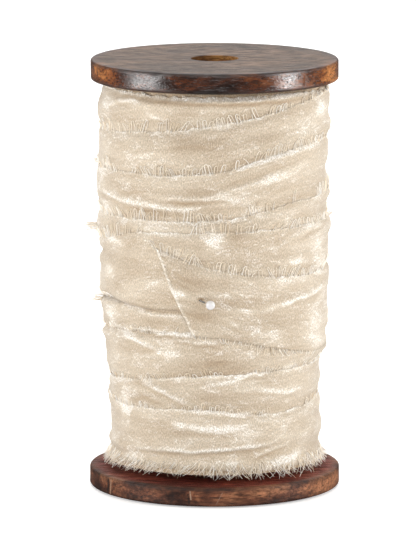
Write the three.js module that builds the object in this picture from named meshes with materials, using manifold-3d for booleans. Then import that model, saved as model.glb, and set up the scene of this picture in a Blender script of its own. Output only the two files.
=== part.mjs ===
// A wooden spool wound with torn-edge crushed velvet ribbon. Two sanded discs are fitted on a bored
// barrel. The ribbon is wound downwards, so each turn's top edge lies over the turn above it. Its
// loose end is laid slanting over the last turns and is held by a ball-headed pin.
// Millimetres, +Z up. The origin is the centre of the underside, and the front is -Y.
// An azimuth is counted in degrees from the front towards the right-hand side (+X).
import * as THREE from "three";
import { mergeVertices } from "three/addons/utils/BufferGeometryUtils.js";
import Module from "manifold-3d";

const wasm = await Module();
wasm.setup();

// Driving dimensions.
const spoolHeight = 153;
const boreDiameter = 16.4;
const barrelDiameter = 44;
const topDisc = { diameter: 88, thickness: 7.2 };
const bottomDisc = { diameter: 89.4, thickness: 6.6 };
const edgeRounding = { rim: 1.1, bore: 0.5 };
const gap = 0.3;
const barrelBottom = bottomDisc.thickness + gap;
const barrelTop = spoolHeight - topDisc.thickness - gap;
const rollClearance = 3.4;
const rollBottom = bottomDisc.thickness + rollClearance;
const rollTop = barrelTop;

// The ribbon. Each turn adds its wound thickness, and it sags between the ridges that it lies on.
const cloth = { thickness: 1.2, wound: 1.4, sagSlope: 0.35, sagReach: 5 };
const pin = {
  headDiameter: 3.3,
  shankDiameter: 0.7,
  headStandOff: 0.4,
  headAzimuth: -2,
  headHeight: 71.6,
  entryAzimuth: -7.4,
  entryHeight: 73.2,
};

// How finely round and long shapes are divided.
const steps = { disc: 40, roll: 48, rollRows: 58, looseAlong: 22, looseAcross: 8, strip: 7.5, hem: 48 };

// The radius of the turns that don't show, by height.
const packed = [
  { height: 10, radius: 38.2 },
  { height: 11, radius: 37.8 },
  { height: 15.5, radius: 35.8 },
  { height: 50, radius: 35.3 },
  { height: 60, radius: 34.2 },
  { height: 88, radius: 34.4 },
  { height: 104, radius: 35.3 },
  { height: 145.5, radius: 36.9 },
];

// The windings that show, as the height of the ribbon's top edge and the width of its band.
// turned counts the degrees wound: 0 at the back, 90 at the right, 180 at the front, 270 at the left.
const lowerWinding = [
  { turned: -1700, top: 146.0, width: 25.0 },
  { turned: 0, top: 77.0, width: 25.0 },
  { turned: 180, top: 71.5, width: 25.0 },
  { turned: 467, top: 64.0, width: 25.0 },
  { turned: 540, top: 61.2, width: 25.0 },
  { turned: 615, top: 58.0, width: 25.0 },
  { turned: 824, top: 46.7, width: 25.0 },
  { turned: 900, top: 45.8, width: 25.0 },
  { turned: 962, top: 41.2, width: 25.0 },
  { turned: 1080, top: 36.5, width: 24.0 },
  { turned: 1186, top: 32.8, width: 21.4 },
  { turned: 1232, top: 30.9, width: 20.2 },
  { turned: 1264, top: 33.2, width: 21.6 },
  { turned: 1335, top: 32.4, width: 21.0 },
  { turned: 1390, top: 37.0, width: 25.0 },
  { turned: 1440, top: 48.0, width: 25.0 },
  { turned: 1480, top: 61.0, width: 25.0 },
  { turned: 1515, top: 76.0, width: 25.0 },
];
const outerWinding = [
  { turned: 0, top: 145.3, width: 25.0 },
  { turned: 180, top: 143.0, width: 25.0 },
  { turned: 360, top: 144.6, width: 25.0 },
  { turned: 467, top: 143.4, width: 25.0 },
  { turned: 514, top: 137.6, width: 25.0 },
  { turned: 560, top: 132.3, width: 25.0 },
  { turned: 615, top: 129.5, width: 25.0 },
  { turned: 827, top: 126.9, width: 25.0 },
  { turned: 869, top: 124.0, width: 25.0 },
  { turned: 902, top: 117.8, width: 25.0 },
  { turned: 978, top: 115.6, width: 25.0 },
  { turned: 1186, top: 107.0, width: 25.0 },
  { turned: 1219, top: 105.6, width: 25.0 },
  { turned: 1254, top: 101.3, width: 25.0 },
  { turned: 1334, top: 99.6, width: 25.0 },
  { turned: 1546, top: 97.5, width: 25.0 },
  { turned: 1656, top: 95.8, width: 28.0 },
  { turned: 1696, top: 91.0, width: 22.0 },
  { turned: 1800, top: 85.0, width: 25.0 },
  { turned: 1911, top: 79.5, width: 28.8 },
];

// The loose end, from where it leaves the roll at the right to its slanting edge at the front left.
const looseEnd = [
  { azimuth: 68, top: 79.5, width: 28.8 },
  { azimuth: 40, top: 79.8, width: 26.6 },
  { azimuth: 8, top: 82.7, width: 24.6 },
  { azimuth: -14, top: 86.1, width: 26.0 },
  { azimuth: -31, top: 91.0, width: 29.0 },
];
const slantEdge = { topAzimuth: -30, bottomAzimuth: -12, lift: 0.4 };

// The main creases, each a soft ridge between two places on the roll.
const creases = [
  { name: "upper left", azimuth: [-80, 4], height: [106.0, 105.2], rise: 0.8, half: 1.6 },
  { name: "left of the slanting edge", azimuth: [-84, -16], height: [69.6, 66.4], rise: 1.0, half: 1.6 },
  { name: "below the slanting edge", azimuth: [-52, -18], height: [56.0, 50.2], rise: 1.2, half: 1.8 },
  { name: "lower left slant", azimuth: [-50, -5], height: [43.0, 33.6], rise: 1.2, half: 1.7 },
  { name: "lower right", azimuth: [-6, 56], height: [42.4, 37.0], rise: 0.8, half: 1.6 },
  { name: "bottom ridge", azimuth: [-52, 40], height: [17.2, 19.0], rise: 1.0, half: 1.8 },
  { name: "left fullness", azimuth: [-150, -36], height: [72.0, 62.0], rise: 2.2, half: 11 },
  { name: "right fullness", azimuth: [62, 140], height: [80.0, 76.0], rise: 1.5, half: 7 },
  { name: "back slant", azimuth: [140, 205], height: [122.0, 104.0], rise: 0.9, half: 1.8 },
  { name: "back lower slant", azimuth: [110, 190], height: [24.0, 30.0], rise: 1.0, half: 1.8 },
];

// The frayed edges. A strip follows the torn edge, and its locks lie on the cloth beside it.
const turnFrays = [
  { name: "fray_turn_1", from: 420, to: 740, locks: 32 },
  { name: "fray_turn_2", from: 745, to: 1085, locks: 34 },
  { name: "fray_turn_3", from: 1090, to: 1430, locks: 34 },
];
const endFray = { from: 62, to: -24, locks: 26, step: 6 };
const hemFray = { locks: 78, bottom: 10.6, top: 11.9, depth: 0.9, spread: 2.4, droop: 1.0 };
const frayStrip = { low: 0.35, high: 1.25, thick: 0.7 };
const lock = { length: 3.1, width: 2.1, thick: 0.6, root: 0.4, tipShare: 0.25 };

const radians = (degrees) => (degrees * Math.PI) / 180;
const clamp = (value, low, high) => Math.min(high, Math.max(low, value));
const wrap = (degrees) => ((degrees % 360) + 360) % 360;
const place = (azimuth, radius, height) =>
  new THREE.Vector3(radius * Math.sin(radians(azimuth)), -radius * Math.cos(radians(azimuth)), height);

// A repeatable unevenness from -1 to 1, for the lengths and slants of locks.
const uneven = (n, salt) => {
  const wave = Math.sin(n * 12.9898 + salt * 78.233) * 43758.5453;
  return 2 * (wave - Math.floor(wave)) - 1;
};

// A smooth curve through one column of a table, with slopes taken across each row's neighbours.
function smoothTable(rows, across, key, at) {
  const sign = rows[1][across] > rows[0][across] ? 1 : -1;
  const last = rows.length - 1;
  const x = clamp(at * sign, rows[0][across] * sign, rows[last][across] * sign);
  let i = 0;
  while (i < last - 1 && rows[i + 1][across] * sign < x) i += 1;
  const slopeAt = (n) => {
    const a = rows[Math.max(0, n - 1)];
    const b = rows[Math.min(last, n + 1)];
    return (b[key] - a[key]) / ((b[across] - a[across]) * sign);
  };
  const span = (rows[i + 1][across] - rows[i][across]) * sign;
  const t = (x - rows[i][across] * sign) / span;
  const steepest = (2.5 * Math.abs(rows[i + 1][key] - rows[i][key])) / span;
  const leaving = clamp(slopeAt(i), -steepest, steepest) * span;
  const arriving = clamp(slopeAt(i + 1), -steepest, steepest) * span;
  return THREE.MathUtils.lerp(rows[i][key], rows[i + 1][key], t * t * (3 - 2 * t)) +
    leaving * t * (1 - t) * (1 - t) - arriving * t * t * (1 - t);
}

// The relief of the roll: its radius at fine steps of height, for each column of the roll's grid.
// One column more stands just behind the loose end's start, where the last turn leaves the roll.
const reliefPitch = 0.5;
const reliefRows = Math.ceil((rollTop - rollBottom) / reliefPitch) + 1;
const reliefHeight = (row) => rollBottom + row * reliefPitch;
const leavingAzimuth = looseEnd[0].azimuth + 1;
const rollAzimuths = Array.from({ length: steps.roll }, (_, step) => (step * 360) / steps.roll);
rollAzimuths.push(leavingAzimuth);
rollAzimuths.sort((a, b) => a - b);

// One pass of the ribbon over a column: the cloth lies on what is highest nearby, and sags between.
function layPass(column, top, bottom) {
  const inside = [...column.keys()].filter((row) => reliefHeight(row) < top && reliefHeight(row) > bottom);
  const under = column.slice();
  const reach = Math.round(cloth.sagReach / reliefPitch);
  for (const row of inside) {
    const from = Math.max(inside[0], row - reach);
    const to = Math.min(inside[inside.length - 1], row + reach);
    let support = 0;
    for (let other = from; other <= to; other += 1) {
      const sag = cloth.sagSlope * Math.abs(other - row) * reliefPitch;
      support = Math.max(support, under[other] - sag);
    }
    column[row] = support + cloth.wound;
  }
}

function layWinding(column, azimuth, rows) {
  const first = rows[0].turned;
  const last = rows[rows.length - 1].turned;
  for (let turned = first + wrap(180 - azimuth - first); turned <= last; turned += 360) {
    const top = smoothTable(rows, "turned", "top", turned);
    layPass(column, top, top - smoothTable(rows, "turned", "width", turned));
  }
}

function creaseRise(azimuth, height) {
  let rise = 0;
  for (const crease of creases) {
    const [from, to] = crease.azimuth;
    const along = wrap(azimuth - from) / (to - from);
    if (along >= 1) continue;
    const middle = THREE.MathUtils.lerp(crease.height[0], crease.height[1], along);
    const away = (height - middle) / crease.half;
    rise += crease.rise * Math.sqrt(Math.sin(Math.PI * along)) * Math.exp(-away * away);
  }
  return rise;
}

const relief = rollAzimuths.map((azimuth) => {
  const column = Array.from({ length: reliefRows }, (_, row) =>
    smoothTable(packed, "height", "radius", reliefHeight(row)) + 0.3 * Math.sin(radians(2 * azimuth + 40)));
  layWinding(column, azimuth, lowerWinding);
  layWinding(column, azimuth, outerWinding);
  return column.map((radius, row) => radius + creaseRise(azimuth, reliefHeight(row)));
});

// The torn edges in a column, as heights where its radius steps.
const edgesOf = (column) => [...column.keys()]
  .filter((row) => row > 0 && Math.abs(column[row] - column[row - 1]) > 0.55 * cloth.wound)
  .map((row) => reliefHeight(row - 0.5));

// The heights of a column's rows. The two nearest to a torn edge are moved to its two sides, except
// where the edge climbs steeply from one column to the next.
function rowHeights(column, next) {
  const spacing = (rollTop - rollBottom) / steps.rollRows;
  const heights = Array.from({ length: steps.rollRows + 1 }, (_, row) => rollBottom + row * spacing);
  const nextEdges = edgesOf(next);
  let taken = 0;
  for (const edge of edgesOf(column)) {
    const below = Math.round((edge - rollBottom) / spacing - 0.5);
    const follows = nextEdges.some((other) => Math.abs(other - edge) < 0.7 * spacing);
    if (!follows || below <= taken || below >= steps.rollRows - 1) continue;
    heights[below] = edge - reliefPitch / 2;
    heights[below + 1] = edge + reliefPitch / 2;
    taken = below + 1;
  }
  return heights;
}

function radiusIn(column, height) {
  const at = clamp((height - rollBottom) / reliefPitch, 0, reliefRows - 1.001);
  const row = Math.floor(at);
  return THREE.MathUtils.lerp(column[row], column[row + 1], at - row);
}

const rollGrid = relief.map((column, step) => {
  const next = relief[(step + 1) % relief.length];
  return rowHeights(column, next).map((height) => ({ height, radius: radiusIn(column, height) }));
});

// The radius that the roll's own faces reach at a place: the larger of the two columns beside it.
function facedRadius(azimuth, height) {
  const at = wrap(azimuth);
  let step = rollAzimuths.length - 1;
  while (step > 0 && rollAzimuths[step] > at) step -= 1;
  const beside = [step, (step + 1) % rollGrid.length].map((n) => {
    const rows = rollGrid[n];
    let row = 0;
    while (row < rows.length - 2 && rows[row + 1].height < height) row += 1;
    const t = clamp((height - rows[row].height) / (rows[row + 1].height - rows[row].height), 0, 1);
    return THREE.MathUtils.lerp(rows[row].radius, rows[row + 1].radius, t);
  });
  return Math.max(...beside);
}

// The least radius that lies clear of the roll, over a reach up, down and to both sides.
function clearRadius(azimuth, height, { up = 0, down = 0, aside = 4, before = Infinity }) {
  let radius = 0;
  for (const rise of [-down, -down / 2, 0, up / 2, up]) {
    for (const turn of [-aside, 0, aside]) {
      radius = Math.max(radius, facedRadius(Math.min(azimuth + turn, before), height + rise));
    }
  }
  return radius + gap;
}

// A closed surface from rings of points, each ring joined to the next by the shorter diagonals.
function ringGeometry(rings, { closed = false } = {}) {
  const size = rings[0].length;
  const points = rings.flat();
  const faces = [];
  for (let i = 0; i < rings.length - (closed ? 0 : 1); i += 1) {
    const a = i * size;
    const b = ((i + 1) % rings.length) * size;
    for (let j = 0; j < size; j += 1) {
      const k = (j + 1) % size;
      const rising = points[a + j].distanceTo(points[b + k]);
      const falling = points[b + j].distanceTo(points[a + k]);
      if (rising <= falling) faces.push(a + j, b + j, b + k, a + j, b + k, a + k);
      else faces.push(a + j, b + j, a + k, b + j, b + k, a + k);
    }
  }
  if (!closed) {
    const end = (rings.length - 1) * size;
    for (let j = 1; j < size - 1; j += 1) {
      faces.push(0, j, j + 1);
      faces.push(end, end + j + 1, end + j);
    }
  }
  const geometry = new THREE.BufferGeometry();
  const numbers = points.flatMap((point) => point.toArray());
  geometry.setAttribute("position", new THREE.Float32BufferAttribute(numbers, 3));
  geometry.setIndex(faces);
  return geometry;
}

// These geometries have positions only, so their shared vertices merge as they are.
function solidOf(geometry) {
  const merged = mergeVertices(geometry, 1e-4);
  const mesh = new wasm.Mesh({
    numProp: 3,
    vertProperties: merged.getAttribute("position").array,
    triVerts: new Uint32Array(merged.index.array),
  });
  return new wasm.Manifold(mesh);
}

function joined(geometries) {
  const mesh = wasm.Manifold.union(geometries.map(solidOf)).getMesh();
  const geometry = new THREE.BufferGeometry();
  geometry.setAttribute("position", new THREE.Float32BufferAttribute(Array.from(mesh.vertProperties), 3));
  geometry.setIndex(Array.from(mesh.triVerts));
  return geometry;
}

// A disc with sanded edges and the bore through it, as a profile turned round the spool's axis.
function discGeometry(disc, base) {
  const outside = disc.diameter / 2;
  const inside = boreDiameter / 2;
  const top = base + disc.thickness;
  const { rim, bore } = edgeRounding;
  const rounded = (height, from) => [0, 45, 90].map((turn) => {
    const angle = radians(from + turn);
    return new THREE.Vector2(outside - rim + rim * Math.cos(angle), height + rim * Math.sin(angle));
  });
  const profile = [
    new THREE.Vector2(inside, base + bore),
    new THREE.Vector2(inside + bore, base),
    ...rounded(base + rim, -90),
    ...rounded(top - rim, 0),
    new THREE.Vector2(inside + bore, top),
    new THREE.Vector2(inside, top - bore),
    new THREE.Vector2(inside, base + bore),
  ];
  return new THREE.LatheGeometry(profile, steps.disc).rotateX(Math.PI / 2);
}

function barrelGeometry() {
  const inside = boreDiameter / 2;
  const outside = barrelDiameter / 2;
  const profile = [
    new THREE.Vector2(inside, barrelBottom),
    new THREE.Vector2(outside, barrelBottom),
    new THREE.Vector2(outside, barrelTop),
    new THREE.Vector2(inside, barrelTop),
    new THREE.Vector2(inside, barrelBottom),
  ];
  return new THREE.LatheGeometry(profile, steps.disc).rotateX(Math.PI / 2);
}

function rollGeometry() {
  const inside = barrelDiameter / 2 + gap;
  const rings = rollGrid.map((column, step) => {
    const azimuth = rollAzimuths[step];
    const outer = column.map(({ height, radius }) => place(azimuth, radius, height));
    return [...outer, place(azimuth, inside, rollTop), place(azimuth, inside, rollBottom)];
  });
  return ringGeometry(rings, { closed: true });
}

// The radius at which the loose end's inner face lies on the roll.
const looseStart = looseEnd[0].azimuth - 0.6;
const looseReach = { up: 2.5, down: 2.5, aside: 4.6, before: looseStart - 0.1 };
const looseRadius = (azimuth, height) => clearRadius(azimuth, height, looseReach);

// The loose end: a sheet that lies on the roll, its slanting edge turned a little outwards.
function looseEndGeometry() {
  const rings = [];
  for (let i = 0; i <= steps.looseAlong; i += 1) {
    const along = i / steps.looseAlong;
    const outer = [];
    const inner = [];
    for (let j = 0; j <= steps.looseAcross; j += 1) {
      const across = j / steps.looseAcross;
      const end = THREE.MathUtils.lerp(slantEdge.topAzimuth, slantEdge.bottomAzimuth, across);
      const azimuth = THREE.MathUtils.lerp(looseStart, end, along);
      const width = smoothTable(looseEnd, "azimuth", "width", azimuth);
      const height = smoothTable(looseEnd, "azimuth", "top", azimuth) - across * width;
      const radius = looseRadius(azimuth, height) + slantEdge.lift * along ** 8;
      inner.push(place(azimuth, radius, height));
      outer.push(place(azimuth, radius + cloth.thickness, height));
    }
    rings.push([...outer, ...inner.reverse()]);
  }
  return ringGeometry(rings);
}

// A lock of threads: a three-sided taper from its root to its tip. aside points across it.
function lockGeometry(root, tip, aside) {
  const along = tip.clone().sub(root).normalize();
  const out = along.clone().cross(aside).normalize();
  const ring = (centre, share) => {
    const side = aside.clone().multiplyScalar((share * lock.width) / 2);
    const rise = out.clone().multiplyScalar((share * lock.thick) / 2);
    return [
      centre.clone().add(side).sub(rise),
      centre.clone().sub(side).sub(rise),
      centre.clone().add(rise),
    ];
  };
  return ringGeometry([ring(root, 1), ring(tip, lock.tipShare)]);
}

// A strip's section, as four corners from its inner low corner round to its outer low corner.
const stripSection = (azimuth, radius, low, high, thick) => [
  place(azimuth, radius, low),
  place(azimuth, radius, high),
  place(azimuth, radius + thick, high),
  place(azimuth, radius + thick, low),
];

// A frayed edge that lies on the roll: the strip beside the edge, and locks that point up from it.
function edgeFray(azimuthAt, edgeAt, places, locks) {
  const stripReach = { up: frayStrip.high - frayStrip.low + gap, aside: 4 };
  const stripRadii = places.map((at) => clearRadius(azimuthAt(at), edgeAt(at) + frayStrip.low, stripReach));
  const sections = places.map((at, n) => {
    const edge = edgeAt(at);
    const low = edge + frayStrip.low;
    return stripSection(azimuthAt(at), stripRadii[n], low, edge + frayStrip.high, frayStrip.thick);
  });
  const pieces = [ringGeometry(sections)];
  for (let n = 0; n < locks; n += 1) {
    const along = ((n + 0.8 + 0.2 * uneven(n, 1)) / (locks + 1)) * (places.length - 1);
    const before = Math.floor(along);
    const at = THREE.MathUtils.lerp(places[before], places[before + 1], along - before);
    const strip = THREE.MathUtils.lerp(stripRadii[before], stripRadii[before + 1], along - before);
    const azimuth = azimuthAt(at);
    const lean = 1.4 * uneven(n, 3);
    const length = lock.length * (1 + 0.25 * uneven(n, 2));
    const low = edgeAt(at) + frayStrip.high - lock.root;
    const high = low + length;
    if (high > rollTop - gap) continue;
    const lie = 0.6 * lock.thick;
    const half = length / 2 + gap;
    const clear = clearRadius(azimuth, low, { up: half }) + lie;
    const root = clamp(clear, strip + frayStrip.thick / 2, strip + frayStrip.thick);
    const tip = clearRadius(azimuth + lean, high, { up: gap, down: half }) + lie;
    const aside = place(azimuth + 90, 1, 0);
    pieces.push(lockGeometry(place(azimuth, root, low), place(azimuth + lean, tip, high), aside));
  }
  return joined(pieces);
}

function evenPlaces(from, to, step) {
  const count = Math.ceil(Math.abs(to - from) / step);
  return Array.from({ length: count + 1 }, (_, n) => THREE.MathUtils.lerp(from, to, n / count));
}

function turnFrayGeometry(fray) {
  const edgeAt = (turned) => smoothTable(outerWinding, "turned", "top", turned);
  return edgeFray((turned) => 180 - turned, edgeAt, evenPlaces(fray.from, fray.to, steps.strip), fray.locks);
}

function endFrayGeometry() {
  const edgeAt = (azimuth) => smoothTable(looseEnd, "azimuth", "top", azimuth);
  const places = evenPlaces(endFray.from, endFray.to, endFray.step);
  return edgeFray((azimuth) => azimuth, edgeAt, places, endFray.locks);
}

// The hem: a ring round the lowest turn's torn edge, its locks hanging out over the bottom disc.
function hemGeometry() {
  const { bottom, top, depth, spread, droop } = hemFray;
  const reach = { up: gap, down: top - bottom + gap, aside: 7.5 };
  const stripRadius = (azimuth) => clearRadius(azimuth, top, reach);
  const sections = Array.from({ length: steps.hem }, (_, n) => {
    const azimuth = (-n * 360) / steps.hem;
    return stripSection(azimuth, stripRadius(azimuth), bottom, top, depth);
  });
  const pieces = [ringGeometry(sections, { closed: true })];
  for (let n = 0; n < hemFray.locks; n += 1) {
    const azimuth = (n * 360) / hemFray.locks + 1.2 * uneven(n, 4);
    const root = stripRadius(azimuth) + depth / 2;
    const out = spread * (1 + 0.3 * uneven(n, 5));
    const tipHeight = bottom - droop + 0.5 * uneven(n, 6);
    const tip = place(azimuth + 2 * uneven(n, 7), root + out, tipHeight);
    pieces.push(lockGeometry(place(azimuth, root, bottom + 0.6), tip, place(azimuth + 90, 1, 0)));
  }
  return joined(pieces);
}

// The pin: its head stands off the cloth, and its shank slants in towards the loose end.
const clothFace = (azimuth, height) => looseRadius(azimuth, height) + cloth.thickness;
const headCentre = place(
  pin.headAzimuth,
  clothFace(pin.headAzimuth, pin.headHeight) + pin.headStandOff + pin.headDiameter / 2,
  pin.headHeight,
);
const entryRadius = clothFace(pin.entryAzimuth, pin.entryHeight) + pin.shankDiameter / 2 + gap;
const entry = place(pin.entryAzimuth, entryRadius, pin.entryHeight);

function headGeometry() {
  return new THREE.SphereGeometry(pin.headDiameter / 2, 12, 8).translate(...headCentre.toArray());
}

function shankGeometry() {
  const along = entry.clone().sub(headCentre).normalize();
  const start = headCentre.clone().addScaledVector(along, pin.headDiameter / 2 + gap);
  const section = new THREE.Shape().absarc(0, 0, pin.shankDiameter / 2, 0, 2 * Math.PI);
  const route = new THREE.LineCurve3(start, entry);
  return new THREE.ExtrudeGeometry(section, { steps: 1, curveSegments: 8, extrudePath: route });
}

const finish = (color, roughness, metalness) =>
  new THREE.MeshStandardMaterial({ color, roughness, metalness });
const stainedWood = finish(0x5a3623, 0.42, 0);
const bareWood = finish(0x9a6136, 0.7, 0);
const velvet = finish(0xd9c8ae, 0.85, 0);
const thread = finish(0xe6dcc6, 0.8, 0);
const pearl = finish(0xf4eff0, 0.18, 0);
const steel = finish(0xb9b4aa, 0.25, 1);

const spoolOfRibbon = new THREE.Group();
spoolOfRibbon.name = "spool_of_velvet_ribbon";

function add(name, geometry, material) {
  const mesh = new THREE.Mesh(geometry, material);
  mesh.name = name;
  spoolOfRibbon.add(mesh);
}

add("disc_bottom", discGeometry(bottomDisc, 0), stainedWood);
add("disc_top", discGeometry(topDisc, spoolHeight - topDisc.thickness), stainedWood);
add("barrel", barrelGeometry(), bareWood);
add("ribbon_roll", rollGeometry(), velvet);
add("ribbon_end", looseEndGeometry(), velvet);
turnFrays.forEach((fray) => add(fray.name, turnFrayGeometry(fray), thread));
add("fray_end", endFrayGeometry(), thread);
add("fray_hem", hemGeometry(), thread);
add("pin_head", headGeometry(), pearl);
add("pin_shank", shankGeometry(), steel);

export default spoolOfRibbon;
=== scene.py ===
import math
import bpy
import numpy as np
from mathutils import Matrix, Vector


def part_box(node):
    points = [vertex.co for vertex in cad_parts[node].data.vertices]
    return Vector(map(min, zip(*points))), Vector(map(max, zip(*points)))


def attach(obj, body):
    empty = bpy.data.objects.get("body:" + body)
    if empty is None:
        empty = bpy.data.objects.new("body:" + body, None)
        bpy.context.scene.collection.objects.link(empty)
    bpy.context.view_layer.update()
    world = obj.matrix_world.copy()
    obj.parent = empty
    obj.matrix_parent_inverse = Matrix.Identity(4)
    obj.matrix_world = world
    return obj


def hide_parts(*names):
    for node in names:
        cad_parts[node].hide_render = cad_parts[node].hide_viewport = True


# A wooden spool wound with torn-edge crushed velvet ribbon.
# Sizes are in millimetres until a mesh is made, and angles are azimuths in degrees,
# counted from the front (-Y) towards the right-hand side (+X).
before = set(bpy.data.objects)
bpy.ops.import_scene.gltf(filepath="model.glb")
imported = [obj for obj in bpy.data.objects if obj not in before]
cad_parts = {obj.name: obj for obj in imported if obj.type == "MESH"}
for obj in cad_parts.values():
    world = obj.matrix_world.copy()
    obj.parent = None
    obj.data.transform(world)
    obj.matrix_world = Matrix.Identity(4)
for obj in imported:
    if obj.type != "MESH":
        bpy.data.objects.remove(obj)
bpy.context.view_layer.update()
scene = bpy.context.scene
mm = 0.001
meanRadius = 40.0  # the winding's, to turn degrees into a distance round it


def nodeBox(name):
    # a node's lowest and highest corners, in millimetres
    return np.array(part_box(name)) / mm


topDiscLow, topDiscHigh = nodeBox("disc_top")
bottomDiscLow, bottomDiscHigh = nodeBox("disc_bottom")
barrelLow, barrelHigh = nodeBox("barrel")
rollLow, rollHigh = nodeBox("ribbon_roll")[:, 2]
floorOfRoll = bottomDiscHigh[2]
print("frame loaded")


# Numbers that several pieces share

def rowsOf(columns, rows):
    # a table's rows, each as a dictionary by the names of its columns
    return [dict(zip(columns.split(), row)) for row in rows]


def turnFrom(azimuth, middle):
    # degrees turned from a middle, from -180 to 180
    return (azimuth - middle + 180) % 360 - 180


def oval(azimuth, height, spot):
    # 1 at the spot's middle, fading as a bell with the distances along and up
    turn = turnFrom(azimuth, spot["azimuth"])
    away = (turn / spot["along"]) ** 2 + ((height - spot["height"]) / spot["up"]) ** 2
    return np.exp(-away)


def smoothTable(rows, across, key, at):
    # a smooth curve through one column of a table, its slopes taken across each row's neighbours
    xs = np.array([row[across] for row in rows], float)
    ys = np.array([row[key] for row in rows], float)
    if xs[1] < xs[0]:
        xs, ys = xs[::-1], ys[::-1]
    x = np.clip(at, xs[0], xs[-1])
    i = np.clip(np.searchsorted(xs, x) - 1, 0, len(xs) - 2)
    slopes = np.empty(len(xs))
    slopes[1:-1] = (ys[2:] - ys[:-2]) / (xs[2:] - xs[:-2])
    slopes[0] = (ys[1] - ys[0]) / (xs[1] - xs[0])
    slopes[-1] = (ys[-1] - ys[-2]) / (xs[-1] - xs[-2])
    span = xs[i + 1] - xs[i]
    rise = ys[i + 1] - ys[i]
    t = (x - xs[i]) / span
    steepest = 2.5 * np.abs(rise)
    leaving = np.clip(slopes[i] * span, -steepest, steepest)
    arriving = np.clip(slopes[i + 1] * span, -steepest, steepest)
    eased = ys[i] + rise * t * t * (3 - 2 * t)
    return eased + leaving * t * (1 - t) ** 2 - arriving * t * t * (1 - t)


def latticeNoise(x, y, cell, seed):
    # random values on a lattice, blended smoothly between its points, from -1 to 1
    table = np.random.default_rng(seed).uniform(-1, 1, (128, 128))
    u, v = np.asarray(x) / cell[0], np.asarray(y) / cell[1]
    i, j = np.floor(u).astype(int), np.floor(v).astype(int)
    a, b = u - i, v - j
    a, b = a * a * (3 - 2 * a), b * b * (3 - 2 * b)
    i, j, k, l = i % 128, j % 128, (i + 1) % 128, (j + 1) % 128
    low = table[i, j] * (1 - a) + table[k, j] * a
    high = table[i, l] * (1 - a) + table[k, l] * a
    return low * (1 - b) + high * b


def smoothed(values, sigma, axis):
    # a running average along one axis with bell-shaped weights, the ends repeated
    reach = int(3 * sigma + 1)
    weights = np.exp(-0.5 * (np.arange(-reach, reach + 1) / sigma) ** 2)
    weights /= weights.sum()
    pad = [(reach, reach) if n == axis else (0, 0) for n in range(values.ndim)]
    padded = np.pad(values, pad, mode="edge")
    total = np.zeros_like(values, float)
    for n, weight in enumerate(weights):
        part = [slice(None)] * values.ndim
        part[axis] = slice(n, n + values.shape[axis])
        total += weight * padded[tuple(part)]
    return total


def smoothStep(low, high, x):
    # 0 below low, 1 above high, and an S-shaped ramp between
    t = np.clip((x - low) / (high - low), 0, 1)
    return t * t * (3 - 2 * t)


def place(azimuth, radius, height):
    # points round the spool's axis, from azimuths in degrees, radii and heights
    turn = np.radians(azimuth)
    azimuth, radius, height = np.broadcast_arrays(turn, radius, height)
    return np.stack([radius * np.sin(azimuth), -radius * np.cos(azimuth), height], -1)


def gridFaces(rows, columns, closeRows=False, closeColumns=False):
    # quads between neighbouring points of a grid, row by row, open or closed each way
    i = np.arange(rows if closeRows else rows - 1)[:, None]
    j = np.arange(columns if closeColumns else columns - 1)[None, :]
    k, l = (i + 1) % rows, (j + 1) % columns
    corners = [i * columns + j, k * columns + j, k * columns + l, i * columns + l]
    return np.stack([np.broadcast_to(c, (i.size, j.size)) for c in corners], -1).reshape(-1, 4)


def makePiece(name, points, faceGroups, material, values=None, uv=None):
    # a mesh object from whole arrays: points in millimetres, and faces with 3 or more corners each
    mesh = bpy.data.meshes.new(name)
    points = np.asarray(points, float).reshape(-1, 3)
    mesh.vertices.add(len(points))
    mesh.vertices.foreach_set("co", (points * mm).ravel())
    corners = np.concatenate([np.asarray(f).ravel() for f in faceGroups])
    totals = np.concatenate([np.full(len(f), np.asarray(f).shape[1]) for f in faceGroups])
    mesh.loops.add(len(corners))
    mesh.loops.foreach_set("vertex_index", corners.astype(np.int32))
    mesh.polygons.add(len(totals))
    starts = np.concatenate([[0], np.cumsum(totals)[:-1]])
    mesh.polygons.foreach_set("loop_start", starts.astype(np.int32))
    mesh.polygons.foreach_set("loop_total", totals.astype(np.int32))
    mesh.update(calc_edges=True)
    for key, numbers in (values or {}).items():
        layer = mesh.attributes.new(key, "FLOAT", "POINT")
        layer.data.foreach_set("value", np.asarray(numbers, np.float32).ravel())
    if uv is not None:
        layer = mesh.uv_layers.new(name="along")
        layer.data.foreach_set("uv", np.asarray(uv, np.float32).reshape(-1, 2)[corners].ravel())
    mesh.polygons.foreach_set("use_smooth", np.ones(len(totals), bool))
    mesh.validate()
    mesh.materials.append(material)
    piece = bpy.data.objects.new(name, mesh)
    scene.collection.objects.link(piece)
    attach(piece, "root")
    return piece


# Materials

def newGroup(name, inputs, outputs):
    # an empty shader group with named sockets, its outputs plain numbers
    group = bpy.data.node_groups.new(name, "ShaderNodeTree")
    for label, kind, value in inputs:
        socket = group.interface.new_socket(label, in_out="INPUT", socket_type=kind)
        if value is not None:
            socket.default_value = value
    for label in outputs:
        group.interface.new_socket(label, in_out="OUTPUT", socket_type="NodeSocketFloat")
    return group, group.nodes.new("NodeGroupInput"), group.nodes.new("NodeGroupOutput")


def node(tree, kind, inputs=None, **settings):
    # a node with its settings, and its inputs set to values or linked to sockets
    made = tree.nodes.new("ShaderNode" + kind)
    for key, value in settings.items():
        setattr(made, key, value)
    for key, value in (inputs or {}).items():
        if isinstance(value, bpy.types.NodeSocket):
            tree.links.new(value, made.inputs[key])
        else:
            made.inputs[key].default_value = value
    return made


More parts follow.
